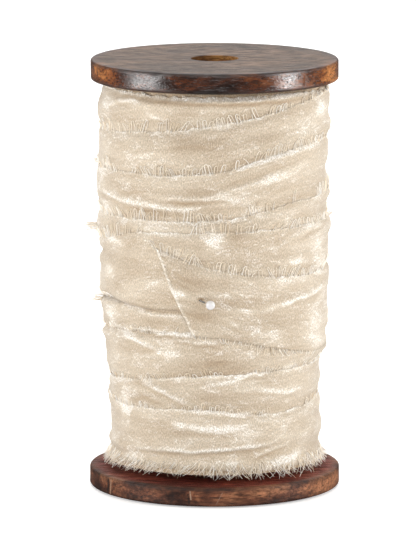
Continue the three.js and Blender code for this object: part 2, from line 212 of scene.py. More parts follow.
def ramp(tree, factor, stops):
    # a colour ramp from pairs of position and colour
    made = node(tree, "ValToRGB", {0: factor})
    while len(made.color_ramp.elements) < len(stops):
        made.color_ramp.elements.new(0.5)
    for element, (position, colour) in zip(made.color_ramp.elements, stops):
        element.position = position
        element.color = colour if len(colour) == 4 else (*colour, 1)
    return made.outputs["Color"]


def grey(value):
    return (value, value, value)


def mixColours(tree, factor, first, second, blend="MIX"):
    # two colours mixed by a factor
    made = node(tree, "Mix", {0: factor}, data_type="RGBA", blend_type=blend)
    for index, value in ((6, first), (7, second)):
        if isinstance(value, bpy.types.NodeSocket):
            tree.links.new(value, made.inputs[index])
        else:
            made.inputs[index].default_value = (*value, 1)
    return made.outputs[2]


def arithmetic(tree, operation, *terms, clamp=False):
    made = node(tree, "Math", dict(enumerate(terms)), operation=operation, use_clamp=clamp)
    return made.outputs[0]


def spread(tree, value, fromLow, fromHigh, toLow, toHigh):
    # a value carried evenly from one range to another and held inside it
    ends = {0: value, 1: fromLow, 2: fromHigh, 3: toLow, 4: toHigh}
    return node(tree, "MapRange", ends, clamp=True).outputs[0]


def attribute(tree, name):
    # the piece's own value at each point
    return node(tree, "Attribute", attribute_name=name).outputs["Fac"]


def noiseLayer(tree, vector, stretch, scale, detail, rough, distortion):
    # a noise pattern, drawn out along the axes with the smallest stretch values
    squash = node(tree, "Mapping", {0: vector, "Scale": stretch})
    return node(tree, "TexNoise", {"Vector": squash.outputs[0], "Scale": scale, "Detail": detail,
                                   "Roughness": rough, "Distortion": distortion}).outputs[0]


def newMaterial(name, **values):
    # a material with its Principled shader, whose plain values are set on its own sockets
    material = bpy.data.materials.new(name)
    material.use_nodes = True
    tree = material.node_tree
    shader = tree.nodes["Principled BSDF"]
    for key, value in values.items():
        shader.inputs[key].default_value = value
    return material, tree, shader


# stretch along each axis, scale, detail, roughness and distortion of each pattern
grainLayers = {
    "streaks": ((0.09, 0.8, 1.0), 1100.0, 5.0, 0.66, 0.3),
    "stains": ((0.45, 0.6, 1.3), 85.0, 6.0, 0.7, 0.5),
    "bands": ((0.22, 1.0, 1.0), 760.0, 5.0, 0.72, 0.3),
    "pores": ((0.10, 1.0, 1.0), 2200.0, 2.0, 0.5, 0.0),
    "lumps": ((0.7, 1.0, 1.0), 1900.0, 2.0, 0.6, 0.0),
}
pileLayers = {
    "depth": ((0.26, 1.1, 1.0), 160.0, 5.0, 0.66, 0.4),
    "patches": ((0.6, 1.15, 1.0), 240.0, 6.0, 0.84, 1.3),
    "wisps": ((0.32, 1.0, 1.0), 300.0, 4.0, 0.6, 1.4),
    "fine": ((1.15, 0.7, 1.0), 2200.0, 2.0, 0.7, 0.0),
    "ribs": ((1.0, 0.4, 1.0), 2400.0, 2.0, 0.6, 0.0),
}


def makeGrainGroup():
    # wood grain along X: fine streaks, stain patches, broader bands, pores, and a varnish that
    # follows the streaks and is a little lumpy
    group, given, out = newGroup("woodGrain", [("Position", "NodeSocketVector", None)],
                                 ["Streaks", "Stains", "Bands", "Pores", "Varnish"])
    noise = {name: noiseLayer(group, given.outputs["Position"], *row)
             for name, row in grainLayers.items()}
    pores = spread(group, noise["pores"], 0.56, 0.70, 0.0, 1.0)
    varnish = arithmetic(group, "MULTIPLY_ADD", noise["lumps"], 1.4, noise["streaks"])
    for label, socket in (("Streaks", noise["streaks"]), ("Stains", noise["stains"]),
                          ("Bands", noise["bands"]), ("Pores", pores), ("Varnish", varnish)):
        group.links.new(socket, out.inputs[label])
    return group


def makePileGroup():
    # velvet pile along the ribbon: broad depth, patches and thin wisps crushed bright where the
    # nap is lifted, fine glints and fine ribs. The pile value brings in painted highlight and painted
    # shade, and the crushed brightness is a painted shine
    group, given, out = newGroup(
        "crushedPile", [("Along", "NodeSocketVector", None), ("NapAndPaintedLight", "NodeSocketFloat", 0.5)],
        ["Depth", "CrushAndShine", "Speckle", "Ribs", "Relief"])
    napAndPaintedLight = given.outputs["NapAndPaintedLight"]
    noise = {name: noiseLayer(group, given.outputs["Along"], *row) for name, row in pileLayers.items()}
    lift = arithmetic(group, "MULTIPLY_ADD", napAndPaintedLight, 0.28, noise["patches"])
    crushed = spread(group, lift, 0.665, 0.82, 0.0, 1.0)
    fromMiddle = arithmetic(group, "ABSOLUTE", arithmetic(group, "SUBTRACT", noise["wisps"], 0.5))
    wisp = spread(group, fromMiddle, 0.004, 0.022, 0.85, 0.0)
    lifted = spread(group, lift, 0.58, 0.70, 0.0, 1.0)
    crushAndShine = arithmetic(group, "MAXIMUM", crushed, arithmetic(group, "MULTIPLY", wisp, lifted))
    sunk = arithmetic(group, "MULTIPLY_ADD", napAndPaintedLight, 0.5, noise["depth"])
    depth = spread(group, sunk, 0.27, 1.0, 0.0, 1.0)
    speckle = spread(group, noise["fine"], 0.42, 0.60, 0.0, 1.0)
    relief = arithmetic(group, "ADD", noise["fine"], noise["ribs"])
    for label, socket in (("Depth", depth), ("CrushAndShine", crushAndShine), ("Speckle", speckle),
                          ("Ribs", noise["ribs"]), ("Relief", relief)):
        group.links.new(socket, out.inputs[label])
    return group


boreBrown = [(0.12, 0.05, 0.016), (0.32, 0.135, 0.042), (0.62, 0.31, 0.10)]
poreBrown = grey(0.008)
burnishAndShadeBrown = (0.012, 0.006, 0.004)
# painted shade in the pin's hole and the deepest grooves
pinholeShadeBrown = (0.07, 0.035, 0.02)
grainGroup = makeGrainGroup()
pileGroup = makePileGroup()


def markMask(tree, position, mark):
    # a scratch on the front: a slanting line of x by z, its half-width, and its lowest and highest z
    parts = node(tree, "SeparateXYZ", {0: position}).outputs
    slid = arithmetic(tree, "MULTIPLY_ADD", parts["Z"], -mark["slant"], parts["X"])
    away = arithmetic(tree, "ABSOLUTE", arithmetic(tree, "SUBTRACT", slid, mark["x"] * mm))
    line = spread(tree, away, 0.3 * mark["half"] * mm, mark["half"] * mm, mark["strength"], 0.0)
    for edge, limit in (("LESS_THAN", mark["high"]), ("GREATER_THAN", mark["low"])):
        line = arithmetic(tree, "MULTIPLY", line, arithmetic(tree, edge, parts["Z"], limit * mm))
    return arithmetic(tree, "MULTIPLY", line, arithmetic(tree, "LESS_THAN", parts["Y"], 0.0))


def woodMaterial(name, rimColours, faceColours, rimRough, faceRough, level, marks=()):
    # stained wood: blotchy rims, faces with bands of grain, dark burnished edges and pores.
    # The face value is 1 on the flat faces and 0 round the rim, and bored is 1 inside the bore.
    material, tree, shader = newMaterial(name, IOR=1.48)
    position = node(tree, "TexCoord").outputs["Object"]
    grain = node(tree, "Group", {"Position": position}, node_tree=grainGroup).outputs
    edge, face, pale, bored = (attribute(tree, key) for key in ("edge", "face", "pale", "bored"))

    def stain(tone, colours):
        return ramp(tree, tone, list(zip((0.38, 0.5, 0.64, 0.76), colours)))

    rim = stain(arithmetic(tree, "MULTIPLY_ADD", pale, 0.22, grain["Stains"]), rimColours)
    stained = mixColours(tree, face, rim, stain(grain["Stains"], faceColours))
    streaks = ramp(tree, grain["Streaks"], [(0.36, grey(0.25)), (0.60, grey(1.35))])
    bands = ramp(tree, grain["Bands"], [(0.41, grey(0.4)), (0.59, grey(1.5))])
    coloured = mixColours(tree, 0.85, stained, mixColours(tree, face, streaks, bands), "MULTIPLY")
    drilled = mixColours(tree, 0.7, stain(grain["Stains"], boreBrown), streaks, "MULTIPLY")
    coloured = mixColours(tree, bored, coloured, drilled)
    for mark in marks:
        coloured = mixColours(tree, markMask(tree, position, mark), coloured, mark["colour"])
    pored = mixColours(tree, arithmetic(tree, "MULTIPLY", grain["Pores"], 0.55), coloured, poreBrown)
    # the edge colour darkens burnished edges and also paints shade on the bore's left
    tree.links.new(mixColours(tree, edge, pored, burnishAndShadeBrown), shader.inputs["Base Color"])
    tree.links.new(spread(tree, bored, 0.0, 1.0, level, 0.1), shader.inputs["Specular IOR Level"])
    worn = spread(tree, grain["Bands"], 0.40, 0.60, *faceRough)
    bare = arithmetic(tree, "ADD", face, edge, clamp=True)
    tree.links.new(spread(tree, bare, 0.0, 0.6, rimRough, worn), shader.inputs["Roughness"])
    raised = arithmetic(tree, "MULTIPLY_ADD", arithmetic(tree, "MULTIPLY", face, 16.0),
                        grain["Bands"], grain["Varnish"])
    bump = node(tree, "Bump", {"Strength": 0.9, "Distance": 0.00006, "Height": raised})
    pits = node(tree, "Bump", {"Strength": 0.4, "Distance": 0.0001, "Height": grain["Pores"],
                               "Normal": bump.outputs[0]}, invert=True)
    tree.links.new(pits.outputs[0], shader.inputs["Normal"])
    return material


def velvetMaterial(name, deepColour, midColour, brightColour, sheen):
    # crushed velvet: deep to middling pile, finely ribbed, with patches flattened to a speckled shine
    # painted into the colour as a highlight, and the deepest pile painted dark as shade
    material, tree, shader = newMaterial(name, **{
        "Sheen Weight": sheen, "Sheen Roughness": 0.4, "Sheen Tint": (1.0, 0.96, 0.9, 1),
        "Specular IOR Level": 0.3})
    along = node(tree, "UVMap", uv_map="along").outputs[0]
    napAndPaintedLight = attribute(tree, "napAndPaintedLight")
    pile = node(tree, "Group", {"Along": along, "NapAndPaintedLight": napAndPaintedLight}, node_tree=pileGroup).outputs
    base = mixColours(tree, pile["Depth"], deepColour, midColour)
    ribs = ramp(tree, pile["Ribs"], [(0.35, grey(0.86)), (0.65, grey(1.08))])
    # fine speckle in the pile's tone, partly painted glints
    speckleTone = ramp(tree, pile["Speckle"], [(0.0, grey(0.82)), (1.0, grey(1.11))])
    speckledBase = mixColours(tree, 1.0, mixColours(tree, 1.0, base, ribs, "MULTIPLY"), speckleTone, "MULTIPLY")
    # the crushed patches' speckled shine, painted into the colour as a highlight
    glints = arithmetic(tree, "MULTIPLY_ADD", pile["Speckle"], 0.92, 0.08)
    strength = arithmetic(tree, "MULTIPLY", glints, pile["CrushAndShine"])
    shining = mixColours(tree, strength, speckledBase, brightColour)
    # painted shade: the deepest pile value, in the pin's hole and in the creases' grooves, turns dark
    # brown
    deepestShade = spread(tree, napAndPaintedLight, -1.2, -0.3, 0.12, 1.0)
    tree.links.new(mixColours(tree, deepestShade, pinholeShadeBrown, shining), shader.inputs["Base Color"])
    tree.links.new(spread(tree, strength, 0.0, 1.0, 0.9, 0.5), shader.inputs["Roughness"])
    bump = node(tree, "Bump", {"Strength": 0.6, "Distance": 0.00025, "Height": pile["Relief"]})
    tree.links.new(bump.outputs[0], shader.inputs["Normal"])
    return material


faceBrown = [(0.095, 0.045, 0.018), (0.145, 0.071, 0.030), (0.215, 0.110, 0.050)]
mahogany = [(0.100, 0.015, 0.008), (0.180, 0.032, 0.018), (0.280, 0.070, 0.040)]
glossyRim = [(0.020, 0.006, 0.003), (0.075, 0.022, 0.009), (0.210, 0.068, 0.021),
            (0.480, 0.190, 0.060)]
wornRim = [(0.045, 0.015, 0.009), (0.140, 0.048, 0.023), (0.360, 0.150, 0.070)]
rimMarks = rowsOf("x slant half low high strength colour", [
    (-37.9, 0.05, 0.45, 0.5, 6, 0.8, grey(0.008)),
    (-37, 0.05, 0.3, 0.5, 6, 0.6, (0.4, 0.25, 0.16)),
    (-8.9, -0.1, 0.42, 0.9, 4.6, 0.7, grey(0.01)),
    (-8.1, -0.1, 0.3, 2.4, 5.6, 0.6, (0.5, 0.36, 0.26)),
    (0, 0.53, 0.25, 0.8, 5.2, 0.35, (0.35, 0.24, 0.18)),
])
stainedWood = woodMaterial("stainedWood", glossyRim, faceBrown, rimRough=0.13,
                           faceRough=(0.66, 0.42), level=1.0)
wornWood = woodMaterial("wornWood", wornRim, mahogany, rimRough=0.42, faceRough=(0.7, 0.45),
                        level=0.35, marks=rimMarks)
boreWood = woodMaterial("boreWood", boreBrown, boreBrown, rimRough=0.7, faceRough=(0.8, 0.6),
                        level=0.1)
velvet = velvetMaterial("crushedVelvet", deepColour=(0.37, 0.268, 0.17),
                        midColour=(0.68, 0.595, 0.478), brightColour=(1.0, 0.98, 0.945), sheen=0.7)
# a warmer copy of the velvet with little sheen for the packed turns, which show in shade under the top
# disc: painted shade
shadedVelvet = velvetMaterial("shadedVelvet", deepColour=(0.40, 0.27, 0.16),
                              midColour=(0.68, 0.53, 0.37), brightColour=(0.95, 0.88, 0.78), sheen=0.1)


def threadMaterial():
    # loose silky threads, a little uneven in tone
    material, tree, shader = newMaterial("frayedThread", **{"Roughness": 0.6})
    colour = ramp(tree, attribute(tree, "tone"), [
        (0.0, (0.70, 0.56, 0.40)), (0.35, (0.90, 0.79, 0.63)), (1.0, (1.0, 0.98, 0.94))])
    tree.links.new(colour, shader.inputs["Base Color"])
    return material


def pearlMaterial():
    # a lacquered pearl ball: white with a faint warm and cool cloud under a clear gloss
    material, tree, shader = newMaterial("pearlBall", **{
        "Roughness": 0.22, "Coat Weight": 0.8, "Coat Roughness": 0.06, "IOR": 1.55})
    position = node(tree, "TexCoord").outputs["Object"]
    cloud = node(tree, "TexNoise", {"Vector": position, "Scale": 700.0, "Detail": 2.0})
    colour = ramp(tree, cloud.outputs[0], [(0.35, (0.66, 0.65, 0.67)), (0.65, (0.76, 0.74, 0.72))])
    tree.links.new(colour, shader.inputs["Base Color"])
    return material


def steelMaterial():
    # drawn steel wire with fine lines
    material, tree, shader = newMaterial("pinSteel", **{"Metallic": 1.0, "Roughness": 0.25})
    position = node(tree, "TexCoord").outputs["Object"]
    lines = node(tree, "TexNoise", {"Vector": position, "Scale": 3000.0, "Detail": 2.0})
    colour = ramp(tree, lines.outputs[0], [(0.3, (0.38, 0.36, 0.33)), (0.7, (0.66, 0.64, 0.60))])
    tree.links.new(colour, shader.inputs["Base Color"])
    return material


frayedThread = threadMaterial()
pearlBall = pearlMaterial()
pinSteel = steelMaterial()
print("materials made")


# The winding: the height of the ribbon's top edge and its width, by the degrees wound, which are
# 0 at the back, 90 at the right, 180 at the front and 270 at the left. The lower table starts with
# the turns that are hidden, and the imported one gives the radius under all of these.
winding = {
    "azimuthStep": 0.5,
    "heightStep": 0.25,
    "wound": 1.4,
    "sagSlope": 0.35,
    "packed": rowsOf("height radius", [
        (10, 38.2), (11, 37.8), (15.5, 35.8), (50, 35.3), (60, 34.2), (88, 34.4), (104, 35.3),
        (138, 36.7), (145.5, 38.6),
    ]),
    "lower": rowsOf("turned top width", [
        (-1700, 146, 25), (0, 77, 25), (180, 71.5, 25), (467, 64, 25), (540, 61.2, 25),
        (615, 58, 25), (824, 46.7, 25), (900, 45.8, 25), (962, 41.2, 25), (1080, 36.5, 24),
        (1186, 32.8, 21.4), (1232, 30.9, 20.2), (1264, 33.2, 21.6), (1335, 32.4, 21),
        (1390, 37, 25), (1440, 48, 25), (1480, 61, 25), (1515, 76, 25),
    ]),
    "outer": rowsOf("turned top width", [
        (0, 145.3, 25), (180, 144.1, 25), (360, 144.6, 25), (467, 143.4, 25), (514, 137.6, 25),
        (560, 132.3, 25), (615, 129.5, 25), (827, 126.9, 25), (869, 124, 25), (902, 117.8, 25),
        (978, 115.6, 25), (1186, 107, 25), (1219, 105.6, 25), (1254, 101.3, 25), (1334, 99.6, 25),
        (1546, 97.5, 25), (1656, 95.8, 28), (1696, 91, 22), (1800, 85, 25), (1911, 79.5, 28.8),
        (1940, 79.8, 26.6), (1972, 82.7, 24.6), (1994, 86.1, 26), (2011, 91, 29),
    ]),
}
# the slanting end, in degrees wound at the ribbon's top and bottom edge
slantEnd = {"from": 1912, "top": 2010, "bottom": 1992}

rasterAzimuths = np.arange(0, 360, winding["azimuthStep"])
rasterHeights = np.arange(rollLow, rollHigh + winding["heightStep"], winding["heightStep"])


def endOf(across):
    # the degrees wound at the slanting end, for a share of the width from the top edge
    return slantEnd["top"] + (slantEnd["bottom"] - slantEnd["top"]) * across


def layPass(surface, top, bottom, laid):
    # a turn lies on the highest ridges in its band and sags from them at a set slope.
    # Returns the turn's own surface, carried on past its band, and the raster with it laid on.
    inside = (rasterHeights < top[:, None]) & (rasterHeights > bottom[:, None]) & laid
    support = np.where(inside, surface, -np.inf)
    fall = winding["sagSlope"] * winding["heightStep"]
    for row in range(1, support.shape[1]):
        support[:, row] = np.maximum(support[:, row], support[:, row - 1] - fall)
    for row in range(support.shape[1] - 2, -1, -1):
        support[:, row] = np.maximum(support[:, row], support[:, row + 1] - fall)
    support = np.where(np.isfinite(support), support, surface)
    own = smoothed(support, 3.0, 1) + winding["wound"]
    return own, np.where(inside, own, surface)


def layWinding(surface, rows, first, last, cut=False):
    # lays the passes in the order in which they were wound, and keeps each one's own surface
    # and the surface beneath it
    start = first + (180 - rasterAzimuths - first) % 360
    passes = []
    for count in range(int((last - first) // 360) + 1):
        turned = start + 360 * count
        top = smoothTable(rows, "turned", "top", turned)
        width = smoothTable(rows, "turned", "width", turned)
        across = np.clip((top[:, None] - rasterHeights) / width[:, None], 0, 1)
        laid = turned[:, None] <= (endOf(across) if cut else last)
        beneath = surface
        own, surface = layPass(surface, top, top - width, laid)
        passes.append(np.stack([own, beneath]))
    return passes, surface


def packedSurface():
    # the turns that don't show, a radius by height with a slight ovalness
    radius = smoothTable(winding["packed"], "height", "radius", rasterHeights)
    return radius[None, :] + 0.3 * np.sin(np.radians(2 * rasterAzimuths + 40))[:, None]


def sampleRaster(raster, azimuth, height):
    # a raster's value at any azimuths and heights, blended between its nearest cells
    u = (np.asarray(azimuth) % 360) / winding["azimuthStep"]
    v = np.clip((height - rollLow) / winding["heightStep"], 0, raster.shape[1] - 1.001)
    i, j = np.floor(u).astype(int), np.floor(v).astype(int)
    a, b = u - i, v - j
    i, k = i % raster.shape[0], (i + 1) % raster.shape[0]
    low = raster[i, j] * (1 - a) + raster[k, j] * a
    high = raster[i, j + 1] * (1 - a) + raster[k, j + 1] * a
    return low * (1 - b) + high * b


innerSurface = layWinding(packedSurface(), winding["lower"], -1700, 0)[1]
lowerPasses, lowerSurface = layWinding(innerSurface, winding["lower"], 0, 1515)
outerPasses, topSurface = layWinding(lowerSurface, winding["outer"], 0, 2011, cut=True)
print("winding laid")


# The creases: soft ridges along a line of places (azimuth, height), with their rise, half-width, how
# much painted highlight the crown gets, and how much painted shade lies on the shadowed side, which is
# below the crown (-1) or above it (1)
creaseTable = rowsOf("line rise half bright deep side", [
    ([(-150, 72), (-36, 62)], 2.2, 11, 0, 0, -1),
    ([(62, 80), (140, 76)], 1.5, 7, 0, 0, -1),
    ([(-72, 143.9), (-38, 143.6), (0, 143.2), (12, 143.3), (40, 143.6), (62, 143.9)],
     1.1, 0.9, 0.5, 1.1, -1),
    ([(-68, 138.6), (-58, 141.2), (-42, 142.2)], 0.5, 0.9, 0.6, 0.2, -1),
    ([(6, 118.2), (17, 120.4), (31, 123.2), (45, 125), (64, 126.2)], 0.8, 0.9, 0.9, 0.35, 1),
    ([(-6, 109.2), (12, 112.3), (36, 118)], 0.6, 1.3, 0.35, 0.25, 1),
    ([(-2, 106.2), (14, 108), (36, 112.4)], 0.45, 1.3, 0.3, 0.2, -1),
    ([(18, 113), (52, 120.5)], 0.4, 1.5, 0.2, 0.15, 1),
    ([(-82, 108), (-62, 106.9), (-40, 105.7), (-9, 104.2)], 1, 1.1, 0.7, 0.4, -1),
    ([(-28, 108.4), (-8, 108.6), (10, 109)], 0.5, 0.8, 0.4, 0.6, -1),
    ([(25, 68.9), (36, 70.4), (59, 72), (78, 73.4)], 0.8, 1.1, 0.9, 0.35, -1),
    ([(-60, 68.6), (-42, 67), (-30, 66.5), (-15, 67)], 0.9, 0.65, 0.7, 0.7, 1),
    ([(-52, 61), (-39, 60), (-27, 59.8), (-9, 59.9)], 0.9, 0.65, 0.9, 0.8, -1),
    ([(-72, 61), (-60, 59.5), (-46, 57.2), (-37, 55), (-29, 52.2)], 0.9, 1, 0.8, 0.25, -1),
    ([(-23, 58.2), (-10, 57.4), (4, 56.6)], 0.4, 0.7, 0.4, 0.6, -1),
    ([(-49, 43.6), (-37, 41.4), (-28, 39.3), (-20, 37.2), (-11, 34.8)], 1.3, 0.9, 0.9, 0.35, -1),
    ([(-44, 39), (-28, 35.6)], 0.4, 0.8, 0.1, 0.4, -1),
    ([(-8, 41.6), (8, 43), (18, 45.2), (28, 46)], 0.6, 0.9, 0.7, 0.25, -1),
    ([(8, 41.2), (24, 40.2), (40, 38.2), (54, 38.4)], 0.5, 0.9, 0.6, 0.25, -1),
    ([(-48, 18), (-30, 18.1), (0, 18.7), (15, 19.6), (36, 21.2)], 1.1, 0.8, 0.9, 0.5, -1),
    ([(20, 15.6), (34, 18.2), (44, 20)], 0.6, 0.7, 0.6, 0.5, -1),
    ([(22, 10.4), (34, 12.5), (54, 15.8)], 0.8, 1.3, 0.8, 0.3, 1),
    ([(-14, 33.4), (10, 31.6), (32, 31.2)], 0.5, 1, 0.4, 0.2, -1),
    ([(-25, 29.2), (-12, 26.8), (4, 26.4), (20, 28)], 0.6, 1.2, 0.5, 0.25, -1),
    ([(-32, 22.4), (-5, 22.8), (14, 21.4)], 0.35, 1.1, 0.1, 0.25, 1),
    ([(-25, 75), (-14, 74.6), (-4, 72.7)], 0.35, 1.1, 0.2, 0.35, -1),
    ([(2, 69.4), (22, 68.6)], 0.3, 0.8, 0.35, 0.15, -1),
    ([(1, 67.5), (9, 64), (14, 61.6)], 0.4, 0.8, 0.35, 0.2, -1),
    ([(34, 92), (56, 96), (80, 99)], 0.6, 1.3, 0.4, 0.25, -1),
    ([(88, 126), (120, 130), (165, 128)], 0.8, 1.2, 0.6, 0.35, -1),
    ([(140, 122), (172, 112), (205, 104)], 1, 1.2, 0.6, 0.4, -1),
    ([(92, 92), (120, 87), (150, 88)], 0.8, 1.1, 0.6, 0.35, 1),
    ([(170, 60), (210, 66), (250, 63)], 0.9, 1.1, 0.6, 0.4, -1),
    ([(110, 24), (150, 29), (190, 28)], 1, 1.1, 0.7, 0.4, -1),
    ([(95, 52), (130, 48), (165, 50)], 0.7, 1, 0.5, 0.4, 1),
    ([(200, 138), (230, 134), (262, 136)], 0.7, 1.2, 0.6, 0.3, -1),
    ([(228, 86), (258, 84), (290, 89)], 0.7, 1.1, 0.5, 0.3, -1),
    ([(205, 36), (240, 30), (275, 34)], 0.9, 1.1, 0.6, 0.4, -1),
    ([(150, 14), (190, 17.5), (240, 15)], 0.9, 1.1, 0.6, 0.4, -1),
])

# How much fuller or slacker the winding is at its left and right sides, and for how many degrees
sideReach = 32
sideFullness = rowsOf("height left right", [
    (6.9, 1, 1), (10, 0.8, 0.8), (13.5, -1.3, 0), (16.5, -0.5, 0.3), (19.5, -1.5, 0.7),
    (27, -0.9, -0.8), (36, -1, -0.1), (42, 0.5, -0.8), (47.5, 0.4, 0.2), (50.5, 0.8, 2),
    (55, 1.3, 0.9), (59, 1.3, 1.8), (65, 1.4, 0.8), (68, 1.6, 1.8), (72, 0.5, 0.7),
    (78.5, 0.2, 0.1), (81.8, 1.6, 0), (85, 0.3, 0.1), (89, 0.8, 0.9), (95.5, 2.1, 1),
    (101.5, 0.9, 0), (107.5, 1, 0.9), (112, 1.2, 0.2), (117, 0.9, -0.7), (122, -0.4, -1.8),
    (126, 0.5, -1.6), (130, 1.6, 0.2), (134.5, 2.6, 0.6), (138.5, 1.8, 0.6), (145.5, 0.5, 0.2),
])

# Crushed patches, partly painted shine and, near the left and right sides, painted sheen: where,
# half-sizes along and up, and how bright. Negative ones are deep pile with painted shade, the
# strongest the pin's hole painted dark as shade.
patchTable = rowsOf("azimuth height along up bright", [
    (66, 137.5, 6, 3, 0.7), (70, 82, 8, 3.5, 0.7), (72, 70, 7, 1.8, 0.6), (66, 54, 8, 3.5, 0.7),
    (-70, 63, 7, 3, 0.7), (-72, 138, 6, 2.6, 0.6), (-76, 113, 6, 4, 0.4), (-62, 49, 6, 2, 0.4),
    (0.5, 94.2, 5, 2.8, 1), (-17, 74.9, 3.2, 1.1, 0.6), (-7, 74.2, 1.8, 1.2, 0.6),
    (-72, 101.6, 7, 2.2, 0.8), (-60, 91, 8, 1.2, 0.7), (-68, 79.5, 4, 2.4, 0.8),
    (-46, 141.5, 5, 0.8, 0.8), (-34, 136.8, 5, 1, 0.7), (2, 134, 4, 1.2, 0.5),
    (52, 132, 10, 4, 0.25), (22, 104, 3, 1.7, 0.9), (-12, 104.2, 7, 1.2, 0.4),
    (12, 108.5, 8, 2, 0.3), (-30, 97.6, 12, 1.4, 0.4), (34, 116, 12, 2.5, 0.25),
    (46, 85, 8, 1.5, 0.8), (66, 89, 7, 4, 0.5), (10, 76, 9, 2, 0.3), (42, 78, 12, 2, 0.3),
    (17, 68.2, 7, 0.8, 0.4), (30, 59.5, 9, 2.2, 0.4), (62, 62, 8, 5, 0.5), (-25, 52.8, 6, 1.6, 0.9),
    (-52, 59, 10, 2, 0.5), (22, 53, 8, 1.8, 0.25), (45, 46.5, 7, 1.6, 0.6),
    (15, 42.6, 8, 1.5, 0.45), (38, 38.8, 8, 1.1, 0.4), (-57, 32, 5, 5.5, 0.95),
    (-16, 27.8, 6, 1.3, 0.6), (2, 26, 14, 2.4, 0.6), (16, 24.5, 9, 2, 0.4),
    (40, 13.8, 12, 1.6, 0.9), (-50, 14.5, 7, 1.5, 0.4), (10, 14.2, 6, 1, 0.5),
    (-16, 138, 6, 1.2, -0.5), (-8, 128.6, 15, 4, -0.3), (-15, 126.8, 7, 3, -0.3),
    (30, 132, 12, 3, -0.15), (-30, 112.5, 16, 3, -0.2), (-9, 110.8, 10, 2, -0.4),
    (-13, 106.9, 12, 0.9, -0.5), (10, 95.5, 5, 2.2, -0.4), (-8, 91, 4, 1.5, -0.4),
    (-20, 93, 9, 1.5, -0.3), (-48, 84, 12, 4, -0.2), (-14, 80, 10, 3.5, -0.3),
    (2, 78.5, 12, 2.6, -0.35), (-6, 67, 10, 4, -0.5), (-33, 63.5, 9, 1.5, -0.5),
    (-8, 47.6, 18, 2.5, -0.3), (2, 50, 12, 1.4, -0.4), (0, 37.6, 14, 1.6, -0.4),
    (-27, 41, 10, 2, -0.3), (-30, 24, 14, 2, -0.15), (-7, 73.1, 1.3, 0.5, -3),
    (150, 112, 20, 4, 0.6), (118, 104, 12, 3, 0.6), (200, 75, 16, 4, 0.6), (240, 42, 14, 5, 0.7),
    (130, 38, 14, 3, 0.6), (172, 132, 18, 2.5, 0.5), (255, 118, 16, 3, 0.5), (105, 66, 12, 4, 0.5),
    (190, 48, 20, 3, -0.3), (215, 96, 18, 4, -0.3),
])


def creaseRelief(azimuth, height):
    # each ridge is bell-shaped across its line and fades out at both ends, with a shallow groove
    # along its shadowed side
    rise = np.zeros(np.broadcast(azimuth, height).shape)
    bright = np.zeros_like(rise)
    for number, crease in enumerate(creaseTable):
        places, heights = np.array(crease["line"], float).T
        turn = (azimuth - places[0]) % 360
        reach = places[-1] - places[0]
        fade = np.sqrt(np.sin(np.pi * np.clip(turn / reach, 0, 1)))
        wander = 0.5 * latticeNoise(turn, number * 7.3 + 0 * turn, (7, 1), 11)
        away = (height - np.interp(turn, places - places[0], heights) - wander) / crease["half"]
        crown = fade * np.exp(-away * away)
        groove = fade * np.exp(-(away - 1.7 * crease["side"]) ** 2)
        rise += crease["rise"] * (crown - 0.35 * groove * (crease["half"] < 3))
        # a painted highlight on the crown and painted shade along the groove
        bright += crease["bright"] * crown - crease["deep"] * groove
    return rise, bright


def patchShade(azimuth, height):
    # a soft oval at each place: flattened pile with painted shine where bright, deep pile with painted
    # shade where negative
    shade = np.zeros(np.broadcast(azimuth, height).shape)
    for patch in patchTable:
        shade += patch["bright"] * oval(azimuth, height, patch)
    return shade


def fullness(azimuth, height):
    # the side table's rises, each bell-shaped round its own side
    total = np.zeros(np.broadcast(azimuth, height).shape)
    for side, middle in (("left", -90), ("right", 90)):
        reach = np.exp(-(turnFrom(azimuth, middle) / sideReach) ** 2)
        total += smoothTable(sideFullness, "height", side, height) * reach
    return total


def wrinkles(along, across, seed):
    # long shallow folds, narrow wrinkles and fine crushing, all drawn out along the ribbon
    slanted = across + 0.08 * along
    broad = latticeNoise(along, slanted, (30, 7), seed)
    narrow = latticeNoise(along, slanted, (15, 2.2), seed + 1)
    ridged = 1 - 2 * np.abs(latticeNoise(along, across - 0.05 * along, (22, 3.6), seed + 2))
    fine = latticeNoise(along, across, (3.6, 1.1), seed + 3)
    return 0.23 * broad + 0.19 * narrow + 0.15 * ridged + 0.07 * fine


# The points along and across the strip, its thickness, how close it may come to the turn beneath,
# how far in it is drawn down along its edges, and its torn edge's unevenness
ribbonShape = {
    "step": 1.0,
    "endDensity": 1.8,
    "outerPoints": 42,
    "innerPoints": 7,
    "crowding": 1.12,
    "thickness": 0.8,
    "edgeThickness": 0.25,
    "leastGap": 0.55,
    "edgeReach": 1.3,
    "tornAmount": 0.35,
    "covered": 0.35,
    "foldedEdge": 0.7,
    "foldedHalf": 0.55,
    # the inner side's pile value, a little deep: painted shade on the underside
    "innerPaintedShade": -0.1,
}


def napAndPaintedLightOf(distance, azimuth, height, fromTop, fromBottom, bright, folds, underFringe, seed):
    # how the pile lies, from deep (0) to flattened bright (1), with painted light added: a painted
    # highlight on crowns, on wrinkle crests and in places along the torn edge, crushed patches that are
    # partly painted shine and sheen, and painted shade in the creases' grooves, under the fringe and
    # along the lower edge
    napAndPaintedLight = 0.42 + 0.75 * bright + 0.8 * patchShade(azimuth, height) + 0.28 * folds
    # less of the torn edge's painted highlight just under the top disc, where it lies in shade
    shaded = 1 - 0.6 * smoothStep(140, 142, height)
    # a painted highlight along the torn top edge, uneven along it
    edge = 0.5 + 0.6 * latticeNoise(distance, 0, (12, 1), seed + 40)
    napAndPaintedLight = napAndPaintedLight + shaded * edge * np.exp(-fromTop / 0.8)
    # painted shade under the fringe and along the lower edge
    return napAndPaintedLight - 0.06 * underFringe - 0.5 * np.exp(-fromBottom / 0.6)


